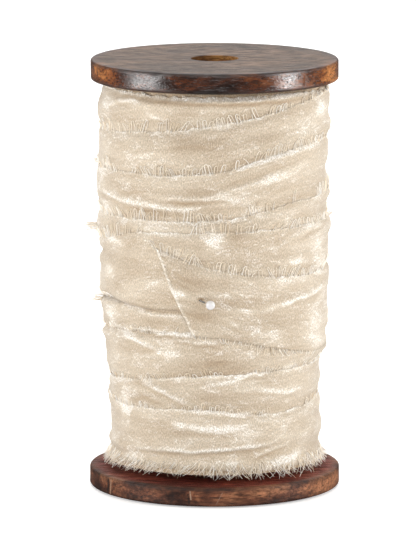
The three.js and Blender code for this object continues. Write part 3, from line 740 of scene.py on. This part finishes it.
def stripTurned(first, last, cut):
    # the degrees wound at each point, with more rows along the loose end, up to its slanting edge
    shape = ribbonShape
    stepDegrees = math.degrees(shape["step"] / meanRadius)
    bend = slantEnd["from"]
    straightEnd = bend if cut else last
    straight = np.linspace(first, straightEnd, int((straightEnd - first) / stepDegrees) + 1)
    across = np.linspace(0, 1, shape["outerPoints"]) ** shape["crowding"]
    turned = np.repeat(straight[:, None], len(across), 1)
    if cut:
        rows = int(shape["endDensity"] * (slantEnd["top"] - bend) / stepDegrees)
        share = np.linspace(0, 1, rows)[1:]
        turned = np.vstack([turned, bend + share[:, None] * (endOf(across)[None, :] - bend)])
    return turned, across


def ribbonPiece(name, rows, passes, first, last, seed, cut):
    # the ribbon as a closed strip: turned(s, t) runs along it and t across it from the top edge.
    # Each point lies on its own pass's surface, with folds where the pass shows.
    shape = ribbonShape
    turned, across = stripTurned(first, last, cut)
    count = len(across)
    distance = np.radians(turned) * meanRadius
    topEdge = smoothTable(rows, "turned", "top", turned)
    width = smoothTable(rows, "turned", "width", turned)
    azimuth = 180 - turned
    torn = shape["tornAmount"] * (latticeNoise(distance, 0, (2.2, 1), seed + 20)
                                  + 0.7 * latticeNoise(distance, 0, (0.9, 1), seed + 21))
    height = topEdge - across * width + torn * (np.exp(-across * width / 1.5))
    passIndex = np.clip(((turned - first) // 360).astype(int), 0, len(passes) - 1)
    radius, beneath = (
        np.take_along_axis(np.stack([sampleRaster(p[layer], azimuth, height) for p in passes]),
                           passIndex[None], 0)[0] for layer in (0, 1))
    cover = sampleRaster(topSurface, azimuth, height)
    shows = (cover < radius + shape["covered"]).astype(float)
    shows = np.minimum(shows, np.minimum(np.roll(shows, 1, 1), np.roll(shows, -1, 1)))
    shows = smoothed(smoothed(shows, 1.5, 0), 1.0, 1) * shows
    radius, beneath = smoothed(radius, 2.0, 0), smoothed(beneath, 2.0, 0)
    rise, bright = creaseRelief(azimuth, height)
    folds = wrinkles(distance, across * width, seed)
    hidden = (cover > radius + shape["covered"]).astype(float)
    # the visible places just above where the next turn's edge covers this one, under its fringe, which
    # get painted shade
    underFringe = np.max([np.roll(hidden, -step, 1) for step in range(1, 7)], 0) * (1 - hidden)
    underFringe = smoothed(underFringe, 2.0, 0)
    if cut:
        fromEnd = (endOf(across)[None, :] - turned) * math.radians(1) * meanRadius
        fold = np.exp(-((fromEnd - shape["foldedEdge"]) / shape["foldedHalf"]) ** 2)
        rise = rise * smoothStep(0, 8, fromEnd) + 0.5 * fold
        # a painted highlight along the loose end's rolled edge
        bright = bright + 0.75 * fold
    fromTop, fromBottom = across * width, (1 - across) * width
    fade = smoothStep(0, 2.5, fromTop) * smoothStep(0, 2.5, fromBottom)
    radius = radius + shows * (rise + folds * (0.25 + 0.75 * fade))
    radius = np.maximum(radius, beneath + shape["leastGap"])
    radius, beneath = (layer + fullness(azimuth, height) for layer in (radius, beneath))
    hug = np.maximum(np.exp(-(fromTop / shape["edgeReach"]) ** 2),
                     np.exp(-(fromBottom / shape["edgeReach"]) ** 2))
    tight = np.minimum(beneath + shape["edgeThickness"] + 0.05, radius)
    radius = radius + hug * (tight - radius)
    napAndPaintedLight = napAndPaintedLightOf(distance, azimuth, height, fromTop, fromBottom, bright, folds, underFringe, seed)
    # the inner side has few points, so each lies under the lowest of the outer points around it
    innerCount = shape["innerPoints"]
    pick = np.linspace(count - 1, 0, innerCount).round().astype(int)
    around = [np.clip(np.arange(count) + step, 0, count - 1) for step in range(-7, 8)]
    lowest = np.min([radius[:, columns] for columns in around], 0)
    inwards = smoothStep(0, 2, np.minimum(fromTop, fromBottom))
    thick = shape["edgeThickness"] + (shape["thickness"] - shape["edgeThickness"]) * inwards
    outer = place(azimuth, radius, height)
    inner = place(azimuth[:, pick], (lowest - thick)[:, pick], height[:, pick])
    points = np.concatenate([outer, inner], 1)
    size = points.shape[1]
    napAndPaintedLightAll = np.concatenate([napAndPaintedLight, np.full((len(napAndPaintedLight), innerCount), shape["innerPaintedShade"])], 1)
    uvAll = np.stack([np.concatenate([distance, distance[:, pick]], 1),
                      np.concatenate([fromTop, fromTop[:, pick]], 1)], -1) * mm
    rings = np.arange(size)
    caps = [rings[None, :], (len(points) - 1) * size + rings[::-1][None, :]]
    piece = makePiece(name, points, [gridFaces(len(points), size, closeColumns=True), *caps], velvet,
                      {"napAndPaintedLight": np.clip(napAndPaintedLightAll, -2, 1.4)}, uvAll)
    length = float(np.sum(np.abs(np.diff(distance[:, 0])))) * mm
    surface = {"azimuth": azimuth, "radius": radius, "height": height, "shows": shows,
               "turned": turned}
    return piece, surface, length


ribbonLower, lowerGrid, lowerLength = ribbonPiece(
    "ribbonLower", winding["lower"], lowerPasses, 0, 1515, 31, False)
ribbonOuter, outerGrid, outerLength = ribbonPiece(
    "ribbonOuter", winding["outer"], outerPasses, 0, 2011, 57, True)
print("ribbons made", round(lowerLength, 3), round(outerLength, 3))


def ribbonCore():
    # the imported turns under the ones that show: a closed tube whose outer wall follows their raster
    rows = np.arange(0, len(rasterHeights), 6)
    columns = np.arange(0, len(rasterAzimuths), 4)
    azimuth = rasterAzimuths[columns][:, None]
    heights = rasterHeights[rows][None, :]
    radius = innerSurface[np.ix_(columns, rows)] - 0.3
    radius = radius + 0.2 * latticeNoise(azimuth * 0.7, heights, (9, 3), 5) + fullness(azimuth, heights)
    inside = barrelHigh[0] + 0.3
    outer = place(azimuth, radius, heights)
    inner = place(azimuth, np.full((len(columns), 2), inside), np.array([[rollHigh, rollLow]]))
    points = np.concatenate([outer, inner], 1)
    levels = np.concatenate([heights, [[rollHigh, rollLow]]], 1) + 0 * azimuth
    napAndPaintedLight = np.full(levels.shape, 0.5)
    uv = np.stack([np.radians(azimuth) * meanRadius + 0 * levels, levels], -1) * mm
    return makePiece("ribbonCore", points, [gridFaces(*points.shape[:2], True, True)], shadedVelvet,
                     {"napAndPaintedLight": napAndPaintedLight}, uv)


packedRibbon = ribbonCore()


def denser(values):
    # four points in place of each one along the first axis, blended between neighbours
    at = np.linspace(0, len(values) - 1, 4 * len(values))
    low = np.minimum(at.astype(int), len(values) - 2)
    share = (at - low)[:, None]
    return values[low] * (1 - share) + values[low + 1] * share


def topmostRaster(grids):
    # the outermost surface as built: each cell's largest radius, its gaps filled from beside them
    raster = np.full(topSurface.shape, -np.inf)
    for grid in grids:
        azimuth, height, radius = (denser(denser(grid[key]).T).T
                                   for key in ("azimuth", "height", "radius"))
        i = np.round((azimuth % 360) / winding["azimuthStep"]).astype(int) % raster.shape[0]
        j = np.round((height - rollLow) / winding["heightStep"]).astype(int)
        j = np.clip(j, 0, raster.shape[1] - 1)
        np.maximum.at(raster, (i.ravel(), j.ravel()), radius.ravel())
    for _ in range(3):
        around = np.max([np.roll(raster, 1, 0), np.roll(raster, -1, 0), np.roll(raster, 1, 1),
                         np.roll(raster, -1, 1)], 0)
        raster = np.where(np.isfinite(raster), raster, around)
    return np.where(np.isfinite(raster), raster, innerSurface)


built = topmostRaster([lowerGrid, outerGrid])


# Frayed threads

def threadPiece(name, paths, radius, tone):
    # three-sided tapering tubes along paths[thread, step], closed at the root and the tip
    count, steps = paths.shape[:2]
    tangent = np.gradient(paths, axis=1)
    tangent /= np.linalg.norm(tangent, axis=2, keepdims=True) + 1e-9
    out = paths * np.array([1, 1, 0])
    out /= np.linalg.norm(out, axis=2, keepdims=True) + 1e-9
    side = np.cross(tangent, out)
    side /= np.linalg.norm(side, axis=2, keepdims=True) + 1e-9
    lift = np.cross(side, tangent)
    taper = np.linspace(1, 0.45, steps)[None, :, None] * radius[:, None, None]
    angles = np.radians([90, 210, 330])
    rings = [paths + taper * (math.cos(a) * side + math.sin(a) * lift) for a in angles]
    points = np.stack(rings, 2)
    base = (np.arange(count) * steps * 3)[:, None, None]
    sideFaces = base + gridFaces(steps, 3, closeColumns=True)[None]
    root = base[:, 0] + np.array([[0, 1, 2]])
    tip = base[:, 0] + np.array([[2, 1, 0]]) + (steps - 1) * 3
    tones = np.repeat(tone, steps * 3)
    return makePiece(name, points, [sideFaces.reshape(-1, 4), root, tip], frayedThread, {"tone": tones})


# points along a thread, its radius, its gap over the cloth, and how far out threads and tufts reach
threadShape = {"steps": 11, "radius": (0.11, 0.18), "clear": 0.16, "reach": 44.3,
               "tuftReach": 45.8, "tuftRoot": 42}


def edgeRoots(grid, spacing, rng):
    # places along a ribbon's top edge where it shows, as azimuth, height and radius
    edgeTurned = grid["turned"][:, 0]
    shows = grid["shows"][:, 3] > 0.4
    count = int(np.radians(edgeTurned[-1] - edgeTurned[0]) * meanRadius / spacing)
    at = np.linspace(edgeTurned[0], edgeTurned[-1], count)
    at = np.clip(at + rng.uniform(-0.45, 0.45, count) * (at[1] - at[0]), at[0], at[-1])
    at = at[np.interp(at, edgeTurned, shows.astype(float)) > 0.5]
    stretch = latticeNoise(np.radians(at) * meanRadius, 0, (8, 1), 91)
    at = at[stretch + rng.uniform(-0.5, 0.5, len(at)) > -0.45]
    return {key: np.interp(at, edgeTurned, grid[key][:, 0]) for key in ("azimuth", "height", "radius")}


def risingThreads(roots, rng, lengths, loops, way):
    # threads that leave the edge upwards (1) or downwards (-1) and lie on the turn next to it: some
    # end free, some turn back in a hairpin, and neighbours lean together
    steps = threadShape["steps"]
    count = len(roots["azimuth"])
    share = np.linspace(0, 1, steps)[None, :]
    arc = np.radians(roots["azimuth"]) * meanRadius
    length = rng.uniform(*lengths, count) * (1 + 0.35 * latticeNoise(arc, roots["height"], (9, 9), 72))
    length = (length * np.clip((rollHigh - roots["height"]) / 9, 0.2, 1))[:, None]
    lean = (0.75 * latticeNoise(arc, roots["height"], (6, 9), 71) + rng.normal(0, 0.12, count))[:, None]
    curl = rng.normal(0, 0.28, count)[:, None]
    straight = length * share
    gap = rng.uniform(0.8, 1.35, count)[:, None]
    looped = (rng.random(count) < loops)[:, None]
    rise = np.where(looped, length * np.sin(np.pi * share) ** 0.55, straight * (1 - 0.1 * share))
    turning = np.where(looped, gap * (smoothStep(0.2, 0.8, share) - 0.5), curl * length * share ** 2)
    aside = lean * rise + turning
    height = np.minimum(roots["height"][:, None] + way * (rise - 0.4), rollHigh - 0.1)
    azimuth = roots["azimuth"][:, None] + np.degrees(aside / meanRadius)
    under = sampleRaster(built, azimuth, height) + threadShape["clear"]
    lift = rng.exponential(0.14, count)[:, None] * rise / length
    lift = lift + 0.25 * np.sin(np.pi * share) * rng.random((count, 1))
    return place(azimuth, np.minimum(under + lift, threadShape["reach"]), height)


def hangingRoots(grid, spacing, rng):
    # places along the loose end's lower edge, where its turn lies on top
    edgeTurned = grid["turned"][:, -1]
    loose = (edgeTurned > slantEnd["from"]) & (edgeTurned < slantEnd["bottom"] - 0.5)
    start, end = edgeTurned[loose].min(), edgeTurned[loose].max()
    count = int(np.radians(end - start) * meanRadius / spacing)
    at = np.sort(rng.uniform(start, end, count))
    return {key: np.interp(at, edgeTurned, grid[key][:, -1]) for key in ("azimuth", "height", "radius")}


tuftTable = rowsOf("azimuth height out up spread count", [
    (-92, 92.6, 5, 0.6, 1.5, 26),
    (-88, 67, 4.2, 0.8, 1.1, 20),
    (-92, 116.5, 2.8, 1.2, 1.6, 14),
    (-32, 91.6, 0.7, 0.4, 1, 22),
    (93, 97, 1.8, 1.5, 1.6, 12),
    (140, 128, 3.2, 1.5, 2, 18),
    (215, 61, 3.4, 1, 1.8, 18),
])


def tufts(rng):
    # small tufts of threads that stand off the winding's sides
    steps = threadShape["steps"]
    share = np.linspace(0, 1, steps)[None, :]
    paths = []
    for tuft in tuftTable:
        count = tuft["count"]
        azimuth = (tuft["azimuth"] + rng.normal(0, 1.6, count))[:, None]
        height = (tuft["height"] + rng.normal(0, 0.5 * tuft["spread"], count))[:, None]
        root = sampleRaster(built, azimuth, height) - 0.2
        length = tuft["out"] * rng.uniform(0.55, 1.0, (count, 1))
        radius = root + length * np.sin(share * np.pi / 2) ** 0.9
        swing = rng.normal(0, 0.35, (count, 1)) * length * share ** 2
        rise = tuft["up"] * rng.uniform(0.2, 1, (count, 1)) + rng.normal(0, 0.5, (count, 1))
        around = azimuth + np.degrees(swing / threadShape["tuftRoot"])
        paths.append(place(around, np.minimum(radius, threadShape["tuftReach"]),
                           height + rise * share ** 1.5))
    return np.concatenate(paths)


def makeFringe():
    # the fringe along the turns' torn edges
    rng = np.random.default_rng(4)
    paths = np.concatenate([
        risingThreads(edgeRoots(outerGrid, 1.45, rng), rng, (2.7, 4.2), 0.95, 1),
        risingThreads(edgeRoots(outerGrid, 1.9, rng), rng, (0.8, 2.6), 0.0, 1),
        risingThreads(edgeRoots(lowerGrid, 1.3, rng), rng, (1.2, 2.8), 0.6, 1),
        risingThreads(hangingRoots(outerGrid, 0.9, rng), rng, (1.0, 2.6), 0.4, -1),
        tufts(rng),
    ])
    radius = rng.uniform(*threadShape["radius"], len(paths))
    return threadPiece("edgeFringe", paths, radius, rng.beta(2.4, 1.4, len(paths)))


hemShape = {"count": 900, "steps": 8, "start": (10.8, 14.6), "tip": 10.1, "flare": (0.0, 1.2),
            "edge": 11.2, "radius": (0.09, 0.16), "reach": 44.0}


def makeHem():
    # the lowest torn edge: threads that lie down the cloth, then flare out over the bottom disc,
    # leaning away from the front on both sides
    rng = np.random.default_rng(9)
    shape = hemShape
    count = shape["count"]
    share = np.linspace(0, 1, shape["steps"])[None, :]
    azimuth = rng.uniform(-180, 180, count)
    start = rng.uniform(*shape["start"], count)[:, None]
    left = np.exp(-((azimuth + 90) / 40) ** 2)
    right = np.exp(-((azimuth - 40) / 30) ** 2)
    wave = latticeNoise(azimuth, 0, (6, 1), 33)
    tip = (rng.normal(shape["tip"], 0.7, count) + 0.7 * wave - 1.3 * left - 1.3 * right)[:, None]
    height = start + (tip - start) * share
    sides = np.abs(np.sin(np.radians(azimuth))) ** 3
    flare = (rng.uniform(*shape["flare"], count) * (1 + 0.5 * wave + 1.1 * sides))[:, None]
    outward = np.sin(np.radians(azimuth)) * np.abs(np.cos(np.radians(azimuth)))
    lean = (1.5 * outward - 0.3 + 0.6 * latticeNoise(azimuth, 5, (2.2, 1), 34)
            + rng.normal(0, 0.3, count))[:, None]
    curl = rng.normal(0, 0.5, count)[:, None]
    aside = (start - tip) * (lean * share + curl * share ** 2)
    around = azimuth[:, None] + np.degrees(aside / meanRadius)
    cloth = sampleRaster(built, around, np.maximum(height, shape["edge"])) + 0.12
    radius = cloth + flare * share ** 2.2 + 0.15 * np.sin(np.pi * share) * rng.random((count, 1))
    paths = place(around, np.minimum(radius, shape["reach"]), np.maximum(height, floorOfRoll + 0.3))
    size = rng.uniform(*shape["radius"], count)
    return threadPiece("hemFringe", paths, size, rng.beta(1.7, 1.0, count))


edgeFringe = makeFringe()
hemFringe = makeHem()
print("fringes made")


# The pin's ball, where the source's solid stands

def makePinHead():
    # a ball from rings of points between its poles
    columns, rings = 48, 23
    low, high = nodeBox("pin_head")
    centre, radius = (low + high) / 2, (high - low)[2] / 2
    u, v = np.meshgrid(np.linspace(0, 2 * np.pi, columns, endpoint=False),
                       np.linspace(0, np.pi, rings + 2)[1:-1])
    ball = np.stack([np.sin(v) * np.cos(u), np.sin(v) * np.sin(u), np.cos(v)], -1).reshape(-1, 3)
    ball = np.vstack([ball, [0, 0, 1], [0, 0, -1]]) * radius + centre
    ring = np.arange(columns)
    after = (ring + 1) % columns
    last = (rings - 1) * columns
    top = np.stack([np.full(columns, rings * columns), ring, after], 1)
    bottom = np.stack([np.full(columns, rings * columns + 1), last + after, last + ring], 1)
    return makePiece("pinHead", ball, [gridFaces(rings, columns, closeColumns=True), top, bottom],
                     pearlBall)


pinHead = makePinHead()


# The spool

spoolShape = {"bore": 8.2, "boreEdge": 0.5, "rimEdge": 0.8, "discColumns": 256,
              "barrelColumns": 128, "barrelRows": 220}


def discProfile(bore, outside, base, top):
    # radii and heights once round a disc's section, from the bore's low edge out and back again
    soft, rim = spoolShape["boreEdge"], spoolShape["rimEdge"]
    quarter = np.radians(np.linspace(0, 90, 7))
    lowRim = np.stack([outside - rim + rim * np.sin(quarter), base + rim - rim * np.cos(quarter)], 1)
    highRim = np.stack([outside - rim + rim * np.cos(quarter), top - rim + rim * np.sin(quarter)], 1)
    side = np.linspace(base + rim, top - rim, 9)[1:-1]
    faceOut = np.linspace(bore + soft, outside - rim, 14)[1:-1]
    return np.vstack([
        [[bore, base + soft], [bore + 0.15, base + 0.15], [bore + soft, base]],
        np.stack([faceOut, np.full(12, base)], 1),
        lowRim, np.stack([np.full(7, outside), side], 1), highRim,
        np.stack([faceOut[::-1], np.full(12, top)], 1),
        [[bore + soft, top], [bore + 0.15, top - 0.15], [bore, top - soft]],
        [[bore, (base + top) / 2]],
    ])


def discPiece(name, low, high, material, seed, dents, paler=()):
    # a turned disc: its section carried round the axis. The rim wanders a little, has small dents at
    # the places given, and paler stain at others.
    outside, base, top = high[0], low[2], high[2]
    bore, count = spoolShape["bore"], spoolShape["discColumns"]
    profile = discProfile(bore, outside, base, top)
    azimuth = np.linspace(0, 360, count, endpoint=False)[:, None]
    radius, height = profile[None, :, 0], profile[None, :, 1]
    nearRim = smoothStep(outside - 1.6, outside - 0.5, radius)
    wander = 0.05 * latticeNoise(azimuth * 0.77, height + 0 * azimuth, (6, 3), seed)
    shrink = nearRim * (wander - 0.06)
    for dent in dents:
        shrink = shrink - nearRim * dent["depth"] * oval(azimuth, height, dent)
    points = place(azimuth, radius + shrink, height + 0 * azimuth)
    corner = np.minimum(np.abs(height - base), np.abs(height - top)) + np.abs(outside - radius)
    edge = np.exp(-(corner / 1.2) ** 2) * 0.75 + 0.2 * np.exp(-((radius - bore) / 0.8) ** 2)
    edge = edge * (0.75 + 0.35 * latticeNoise(azimuth * 0.77, height, (5, 2), seed + 3))
    edge = edge + 0 * azimuth
    for dent in dents:
        edge = edge + nearRim * dent["dark"] * oval(azimuth, height, dent)
    bored = smoothStep(bore + 0.45, bore + 0.1, radius) + 0 * azimuth
    # painted shade: the bore is darker on its left
    edge = edge + 0.45 * bored * smoothStep(0.3, -0.6, np.sin(np.radians(azimuth)))
    pale = 0 * edge
    for stain in paler:
        turn = turnFrom(azimuth, stain["azimuth"])
        pale = pale + stain["amount"] * np.exp(-(turn / stain["along"]) ** 2)
    faces = gridFaces(count, len(profile), True, True)
    face = (1 - nearRim) + 0 * azimuth
    return makePiece(name, points, [faces], material,
                     {"edge": np.clip(edge, 0, 1), "face": face, "bored": bored, "pale": pale})


discTop = discPiece(
    "discTop", topDiscLow, topDiscHigh, stainedWood, 81,
    rowsOf("azimuth height along up depth dark",
           [(-28, 152.6, 2, 0.8, 0.25, 0.3), (47, 149, 0.7, 1.2, 0.15, 0.5)]),
    rowsOf("azimuth along amount",
           [(68, 14, 1), (-78, 18, 0.6), (20, 14, 0.15), (-10, 18, -0.35)]))
discBottom = discPiece(
    "discBottom", bottomDiscLow, bottomDiscHigh, wornWood, 87,
    rowsOf("azimuth height along up depth dark",
           [(-68, 4.2, 0.8, 2.6, 0.25, 0.7), (-20, 3, 0.7, 2.4, 0.2, 0.6),
            (30, 1.4, 2.4, 0.7, 0.2, 0.2)]))


def barrelPiece():
    # the bored core: a closed tube whose bore has fine drilled rings
    count, rows = spoolShape["barrelColumns"], spoolShape["barrelRows"]
    inside, outside = spoolShape["bore"], barrelHigh[0]
    azimuth = np.linspace(0, 360, count, endpoint=False)[:, None]
    heights = np.linspace(barrelHigh[2], barrelLow[2], rows)[None, :]
    rings = 0.05 * latticeNoise(heights, azimuth * 0.02, (0.9, 1), 15)
    chips = 0.03 * latticeNoise(azimuth * 0.3, heights, (1.2, 2.0), 16)
    bore = place(azimuth, inside + 0.06 + (rings + chips), heights)
    wall = place(azimuth, np.full((count, 2), outside), np.array([[barrelLow[2], barrelHigh[2]]]))
    points = np.concatenate([bore, wall], 1)
    faces = gridFaces(count, rows + 2, True, True)
    plain = np.ones(points.shape[:2])
    return makePiece("boredBarrel", points, [faces], boreWood,
                     {"edge": 0 * plain, "face": plain, "bored": plain})


boredBarrel = barrelPiece()
print("spool made")


# What stands for what
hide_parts("ribbon_end")
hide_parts("ribbon_roll")
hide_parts("fray_turn_1", "fray_turn_2", "fray_turn_3", "fray_end")
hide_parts("fray_hem")
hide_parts("pin_head")
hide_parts("disc_top")
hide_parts("disc_bottom")
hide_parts("barrel")
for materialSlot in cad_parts["pin_shank"].material_slots:
    materialSlot.material = pinSteel


# Floor, light and camera

# the floor's half-side and level, how pale it is and how much it glows, and the light around; the
# floor and the sky are darker in the varnish's reflections
stageLook = {
    "reach": 4, "level": -0.0005, "pale": 0.9, "paleInGloss": 0.12, "glow": 0.12, "glowSeen": 0.4,
    "sky": (1.0, 0.96, 0.91), "skyLight": 0.42, "skyInGloss": 0.18,
}


def makeStage():
    look = stageLook
    far, level = look["reach"], look["level"]
    mesh = bpy.data.meshes.new("floor")
    corners = [(-far, -far, level), (far, -far, level), (far, far, level), (-far, far, level)]
    mesh.from_pydata(corners, [], [(0, 1, 2, 3)])
    material, tree, shader = newMaterial("paleFloor", **{"Roughness": 0.9, "Specular IOR Level": 0.1})
    rays = node(tree, "LightPath").outputs
    pale = mixColours(tree, rays["Is Glossy Ray"], grey(look["pale"]), grey(look["paleInGloss"]))
    glow = mixColours(tree, rays["Is Glossy Ray"], grey(1.0), grey(0.0))
    shown = spread(tree, rays["Is Camera Ray"], 0.0, 1.0, look["glow"], look["glowSeen"])
    tree.links.new(pale, shader.inputs["Base Color"])
    tree.links.new(glow, shader.inputs["Emission Color"])
    tree.links.new(shown, shader.inputs["Emission Strength"])
    mesh.materials.append(material)
    floor = bpy.data.objects.new("floor", mesh)
    scene.collection.objects.link(floor)
    world = bpy.data.worlds.new("studio")
    world.use_nodes = True
    tree = world.node_tree
    background = tree.nodes["Background"]
    rays = node(tree, "LightPath").outputs
    tint = mixColours(tree, rays["Is Camera Ray"], look["sky"], (1.0, 1.0, 1.0))
    lighting = spread(tree, rays["Is Glossy Ray"], 0.0, 1.0, look["skyLight"], look["skyInGloss"])
    strength = spread(tree, rays["Is Camera Ray"], 0.0, 1.0, lighting, 1.0)
    tree.links.new(tint, background.inputs["Color"])
    tree.links.new(strength, background.inputs["Strength"])
    scene.world = world


# metres and watts; azimuth and elevation are where a light stands, seen from the spool's middle
lightTable = rowsOf("name azimuth elevation distance size power", [
    ("leftBox", -66, 8, 0.6, (0.3, 0.32), 2),
    ("rightBox", 71, 8, 0.6, (0.13, 0.32), 2.1),
    ("keyBox", -8, 38, 1, (0.7, 0.7), 1.05),
    ("fillBox", 4, 20, 1.4, (0.9, 0.5), 3),
    ("backBox", 180, 52, 1.7, (1.8, 1.8), 23),
])


def makeLights():
    aim = np.array([0, 0, 0.08])
    for row in lightTable:
        lamp = bpy.data.lights.new(row["name"], "AREA")
        lamp.shape = "RECTANGLE"
        lamp.size, lamp.size_y = row["size"]
        lamp.energy = row["power"]
        azimuth, elevation = math.radians(row["azimuth"]), math.radians(row["elevation"])
        towards = np.array([math.sin(azimuth) * math.cos(elevation),
                            -math.cos(azimuth) * math.cos(elevation), math.sin(elevation)])
        light = bpy.data.objects.new(row["name"], lamp)
        light.location = aim + towards * row["distance"]
        light.rotation_euler = (math.pi / 2 - elevation, 0, azimuth)
        scene.collection.objects.link(light)


cameraView = {"distance": 1.920, "pitch": 9.65, "aimHeight": 0.07504, "aside": -0.00235,
              "focalPixels": 5383, "framePixels": 550, "sensor": 36}


def makeCamera():
    camera = bpy.data.cameras.new("camera")
    camera.sensor_width = cameraView["sensor"]
    camera.lens = cameraView["focalPixels"] / cameraView["framePixels"] * cameraView["sensor"]
    camera.clip_end = 20
    pitch = math.radians(cameraView["pitch"])
    body = bpy.data.objects.new("camera", camera)
    body.location = (cameraView["aside"], -cameraView["distance"] * math.cos(pitch),
                     cameraView["aimHeight"] + cameraView["distance"] * math.sin(pitch))
    body.rotation_euler = (math.pi / 2 - pitch, 0, 0)
    scene.collection.objects.link(body)
    scene.camera = body


makeStage()
makeLights()
makeCamera()
scene.view_settings.view_transform = "Standard"
print("stage set")
